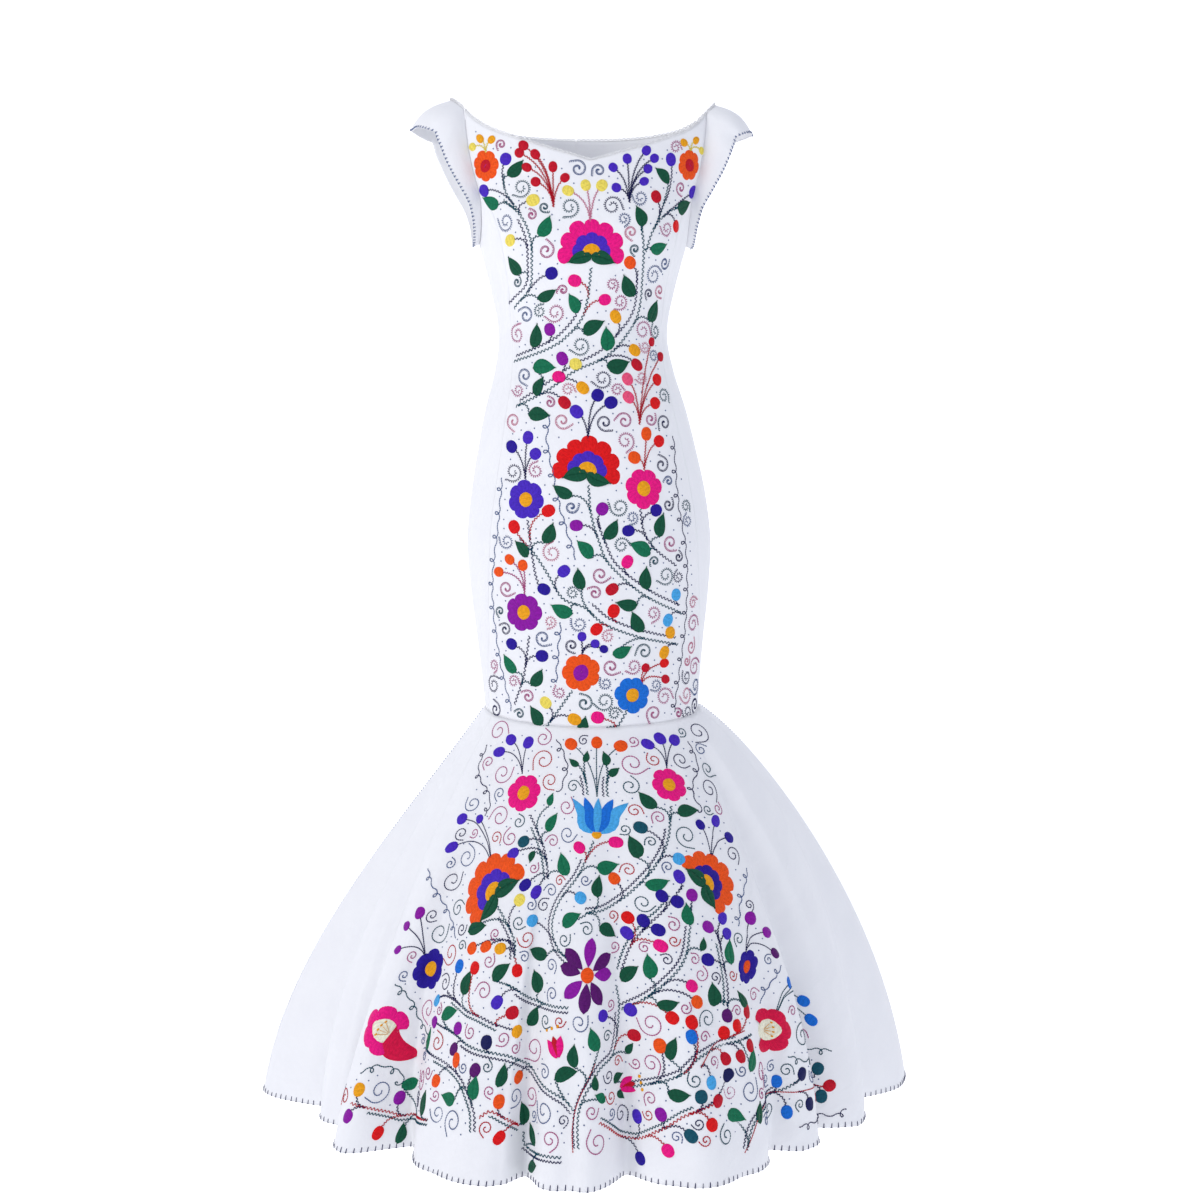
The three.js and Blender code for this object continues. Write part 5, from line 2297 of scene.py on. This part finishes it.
@dataclass
class Dress:
    """The whole dress."""

    studio: Studio
    pattern: Pattern = field(default_factory=Pattern)
    picot: float = 6.4  # length of one loop of the neck's edging, in millimetres
    picot_rise: float = 3.4
    cord: float = 0.95  # radius of the edging's cord
    lace: float = 0.8  # radius of its loops

    def sew(self) -> None:
        """Builds every piece of cloth and what is stitched on it."""
        cotton = CottonFinish().material()
        threads: dict[str, bpy.types.Material] = {}
        worked = self.trims()
        worked["front_panel_cotton"] = [self.bodice_work()]
        worked["skirt_front_cotton"].append(self.skirt_work())
        for piece in self.pattern.pieces():
            made = piece.build()
            made.data.materials.append(cotton)
            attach(made, "root")
            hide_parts(piece.name.removesuffix("_cotton"))
            stitched = [work for needlework in worked.get(piece.name, []) for work in needlework.objects()]
            stitched += self.picots(piece.name)
            for work in stitched:
                colour = work.pop("thread")
                if colour not in threads:
                    threads[colour] = ThreadFinish(colour.lower(), Thread[colour].value).material()
                work.data.materials.append(threads[colour])
                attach(work, "root")
                log.info("%s: %d faces", work.name, len(work.data.polygons))
            area = sum(p.area for p in made.data.polygons) / 2
            log.info("%s: %d faces, %.3f m2 of cloth", made.name, len(made.data.polygons), area)

    def trims(self) -> dict[str, list[Needlework]]:
        """Stitches along the hem, the skirt's side seams and the sleeves' edges, by the cloth they are on.

        Returns:
            Needlework by the cloth's name.
        """
        form, step, made = self.pattern.form, Pattern.SKIRT_STEP, {}
        for gore in GORES:
            places = np.linspace(gore.start + 0.006, gore.end - 0.006, int((gore.end - gore.start) * 60))
            hem = EdgeCanvas(form.skirt, step, places, 1 + 0 * places, (0, -1.0))
            work = Needlework(f"{gore.name}_hem", hem, seed=31)
            made[f"{gore.name}_cotton"] = [self.blanket(work, NAVY, spacing=10.0, height=7.0, rim=1.6)]
        falls = np.linspace(0.012, 0.985, 120)
        for name, place, way in (("skirt_side_left", 8.5, -1.0), ("skirt_side_right", 0.5, 1.0)):
            seam = EdgeCanvas(form.skirt, step, place + 0 * falls, falls, (way, 0))
            work = Needlework(f"{name}_seam", seam, seed=37)
            line = np.stack([np.linspace(2, seam.run[-1] - 2, 200), np.full(200, 2.6)], -1)
            work.sew_line(SLATE, line, Line.RUNNING)
            made[f"{name}_cotton"].append(work)
        for hand in ("left", "right"):
            stations = np.linspace(0.3, 21.7, 260)
            face = self.pattern.sleeve_face(hand)
            cap = EdgeCanvas(face, Pattern.SLEEVE_STEP, stations, 1 + 0 * stations, (0, -1.0))
            work = Needlework(f"sleeve_{hand}_edge", cap, seed=41)
            made[f"sleeve_{hand}_cotton"] = [self.blanket(work, SLATE, spacing=5.5, height=3.4, rim=2.0)]
        return made

    def picots(self, cloth: str) -> list[bpy.types.Object]:
        """A white cord with small loops along a piece's neck edge, if it has one.

        Args:
            cloth: The cloth's name.

        Returns:
            One object, or none.
        """
        form, cut = self.pattern.form, self.pattern.form.cut
        u = np.linspace(0.004, 0.996, 400)
        if cloth == "front_panel_cotton":
            across = 2 * u - 1
            z = read(NECKLINE, "share", "front", np.abs(across))
            edge = form.body(across * self.pattern.edge("front", z), z)
        elif cloth.startswith("back_panel"):
            side = 1 if "left" in cloth else -1
            z = read(NECKLINE, "share", "back", u)
            edge = form.body(side * mix(180, self.pattern.edge("back", z), u), z)
        elif cloth.startswith("sleeve"):
            stations = mix(cut.station_corner + 0.05, 2 * cut.station_top - cut.station_corner - 0.05, u)
            edge = self.pattern.sleeve_face("left" if "left" in cloth else "right")(stations, 0 * stations)
        else:
            return []
        middle = edge.mean(axis=0) * [0, 0, 1] + [cut_axis(edge), 0, 0]
        edge = edge + inwards_at(edge, middle) * cut.cloth / 2
        run = run_along(edge)
        loops = int(run[-1] // self.picot)
        at = np.linspace(0, run[-1], loops * 8 + 1)
        line = np.stack([np.interp(at, run, edge[:, k]) for k in range(3)], -1)
        rise = np.abs(np.sin(np.pi * np.arange(len(at)) / 8)) ** 0.7 * self.picot_rise
        up = np.array([0, 0, 1.0]) - inwards_at(line, middle) * 0.15
        cord = tube(line + up * 0.2, self.cord)
        lace = tube(line + up * rise[:, None], self.lace)
        points, uv = (np.concatenate([cord[k], lace[k]]) for k in (0, 2))
        quads = np.concatenate([cord[1], lace[1] + len(cord[0])])
        made = mesh_object(cloth.replace("_cotton", "_picots_white_thread"), points, quads, uv)
        made["thread"] = WHITE.name
        return [made]

    @staticmethod
    def blanket(work: Needlework, thread: Thread, spacing: float, height: float, rim: float) -> Needlework:
        """Blanket stitch along an edge: upright stitches, each with a short purl on the rim.

        Args:
            work: The needlework of the edge.
            thread: The stitches' colour.
            spacing: Distance between them.
            height: Their height.
            rim: Half a purl's length.

        Returns:
            The same needlework.
        """
        length = work.canvas.run[-1]
        x = np.arange(spacing / 2, length - spacing / 3, spacing)
        x = x + work.chance.normal(0, spacing * 0.05, x.shape)
        tall = height * work.chance.uniform(0.85, 1.12, x.shape)
        foot = np.stack([x, np.full_like(x, -0.5)], -1)
        work.stitches(thread, foot, np.stack([x + 0.5, tall], -1), 1.3, 0.7)
        work.stitches(thread, foot + [-rim, 0.9], foot + [rim, 0.9], 0.9, 0.5)
        return work

    def bodice_work(self) -> Needlework:
        """The front panel's embroidery.

        Returns:
            The needlework.
        """
        canvas = BodiceCanvas(self.pattern.form)
        canvas.look(self.studio)
        work = Needlework("front_panel", canvas, seed=11)
        for bloom in BODICE_BLOOMS:
            work.bloom(bloom)
        for stem in BODICE_STEMS:
            work.stem(stem)
        for sprig in BODICE_SPRIGS:
            work.sprig(sprig, Line.ZIGZAG)
        self.foliage(work, BODICE_BUDS, BODICE_LEAVES, length=29.0)
        for thread, points in BODICE_TENDRILS:
            work.tendril(thread, points)

        def inside(flat: Points) -> Points:
            """Whether flat places lie well inside the front panel.

            Args:
                flat: Flat places.

            Returns:
                True or false for each.
            """
            angle = canvas.unroll(flat)[0]
            edge = self.pattern.edge("front", flat[:, 1])
            neck = read(NECKLINE, "share", "front", np.clip(np.abs(angle) / edge, 0, 1))
            return (np.abs(angle) < edge - 7) & (flat[:, 1] < neck - 16) & (flat[:, 1] > -862)

        threads = (MAUVE, TEAL, NAVY, ROSE, MAUVE, SLATE)
        work.fill(inside, sizes=(12.5, 10.0, 8.0), threads=threads, line=Line.TICKS)
        return work

    def skirt_work(self) -> Needlework:
        """The skirt front's embroidery.

        Returns:
            The needlework.
        """
        canvas = SkirtCanvas(self.pattern.form, start=2.0, middle=4.95, end=8.0)
        canvas.look(self.studio)
        work = Needlework("skirt_front", canvas, seed=23)
        for bloom in SKIRT_BLOOMS:
            work.bloom(bloom)
        for stem in SKIRT_STEMS:
            work.stem(stem, twin=True)
        for sprig in SKIRT_SPRIGS:
            work.sprig(sprig, Line.ROPE)
        self.foliage(work, SKIRT_BUDS, SKIRT_LEAVES, length=29.0)
        self.foliage(work, {}, SKIRT_LEAFLETS, length=17.0)
        for thread, points in SKIRT_TENDRILS:
            work.tendril(thread, points)

        def inside(flat: Points) -> Points:
            """Whether flat places lie in the worked part of the gore.

            Args:
                flat: Flat places.

            Returns:
                True or false for each.
            """
            fall = canvas.unroll(flat)[1]
            shown = self.studio.frame(canvas.lay(flat, np.zeros(len(flat))))[0]
            low = np.interp(shown[:, 1], (740, 900, 1120), (492, 438, 334))
            high = np.interp(shown[:, 1], (740, 900, 1120), (698, 748, 838))
            return (shown[:, 0] > low) & (shown[:, 0] < high) & (fall > 0.03) & (fall < 0.9)

        threads = (MAUVE, TEAL, CRIMSON, MAUVE, NAVY, SLATE)
        work.fill(inside, sizes=(17.0, 13.0, 10.0, 8.0), threads=threads, line=Line.ROPE)
        return work

    @staticmethod
    def foliage(work: Needlework, buds: Places, leaves: Turned, length: float) -> None:
        """Sews buds and leaves on stalks of fitting colours.

        Args:
            work: The needlework to add to.
            buds: Places of the buds, by colour.
            leaves: Rows of a place and the turn of the tip.
            length: The shortest leaf's length.
        """
        for thread, places in buds.items():
            warm = thread in (MAGENTA, RED, CRIMSON, PINK)
            for place in places:
                stalk = CRIMSON if warm and work.chance.random() < 0.6 else NAVY
                work.stalked(Bud(*place, thread), stalk, Line.ZIGZAG)
        for x, y, turn in leaves:
            thread = GREEN if work.chance.random() < 0.3 else PINE
            leaf = Leaf(x, y, turn, length + 6 * work.chance.random(), thread)
            work.stalked(leaf, TEAL, Line.ZIGZAG)


def main() -> None:
    """Builds the studio and the dress."""
    logging.basicConfig(level=logging.INFO, format="%(name)s: %(message)s")
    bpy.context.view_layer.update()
    studio = Studio()
    studio.build()
    Dress(studio).sew()


if __name__ == "__main__":
    main()
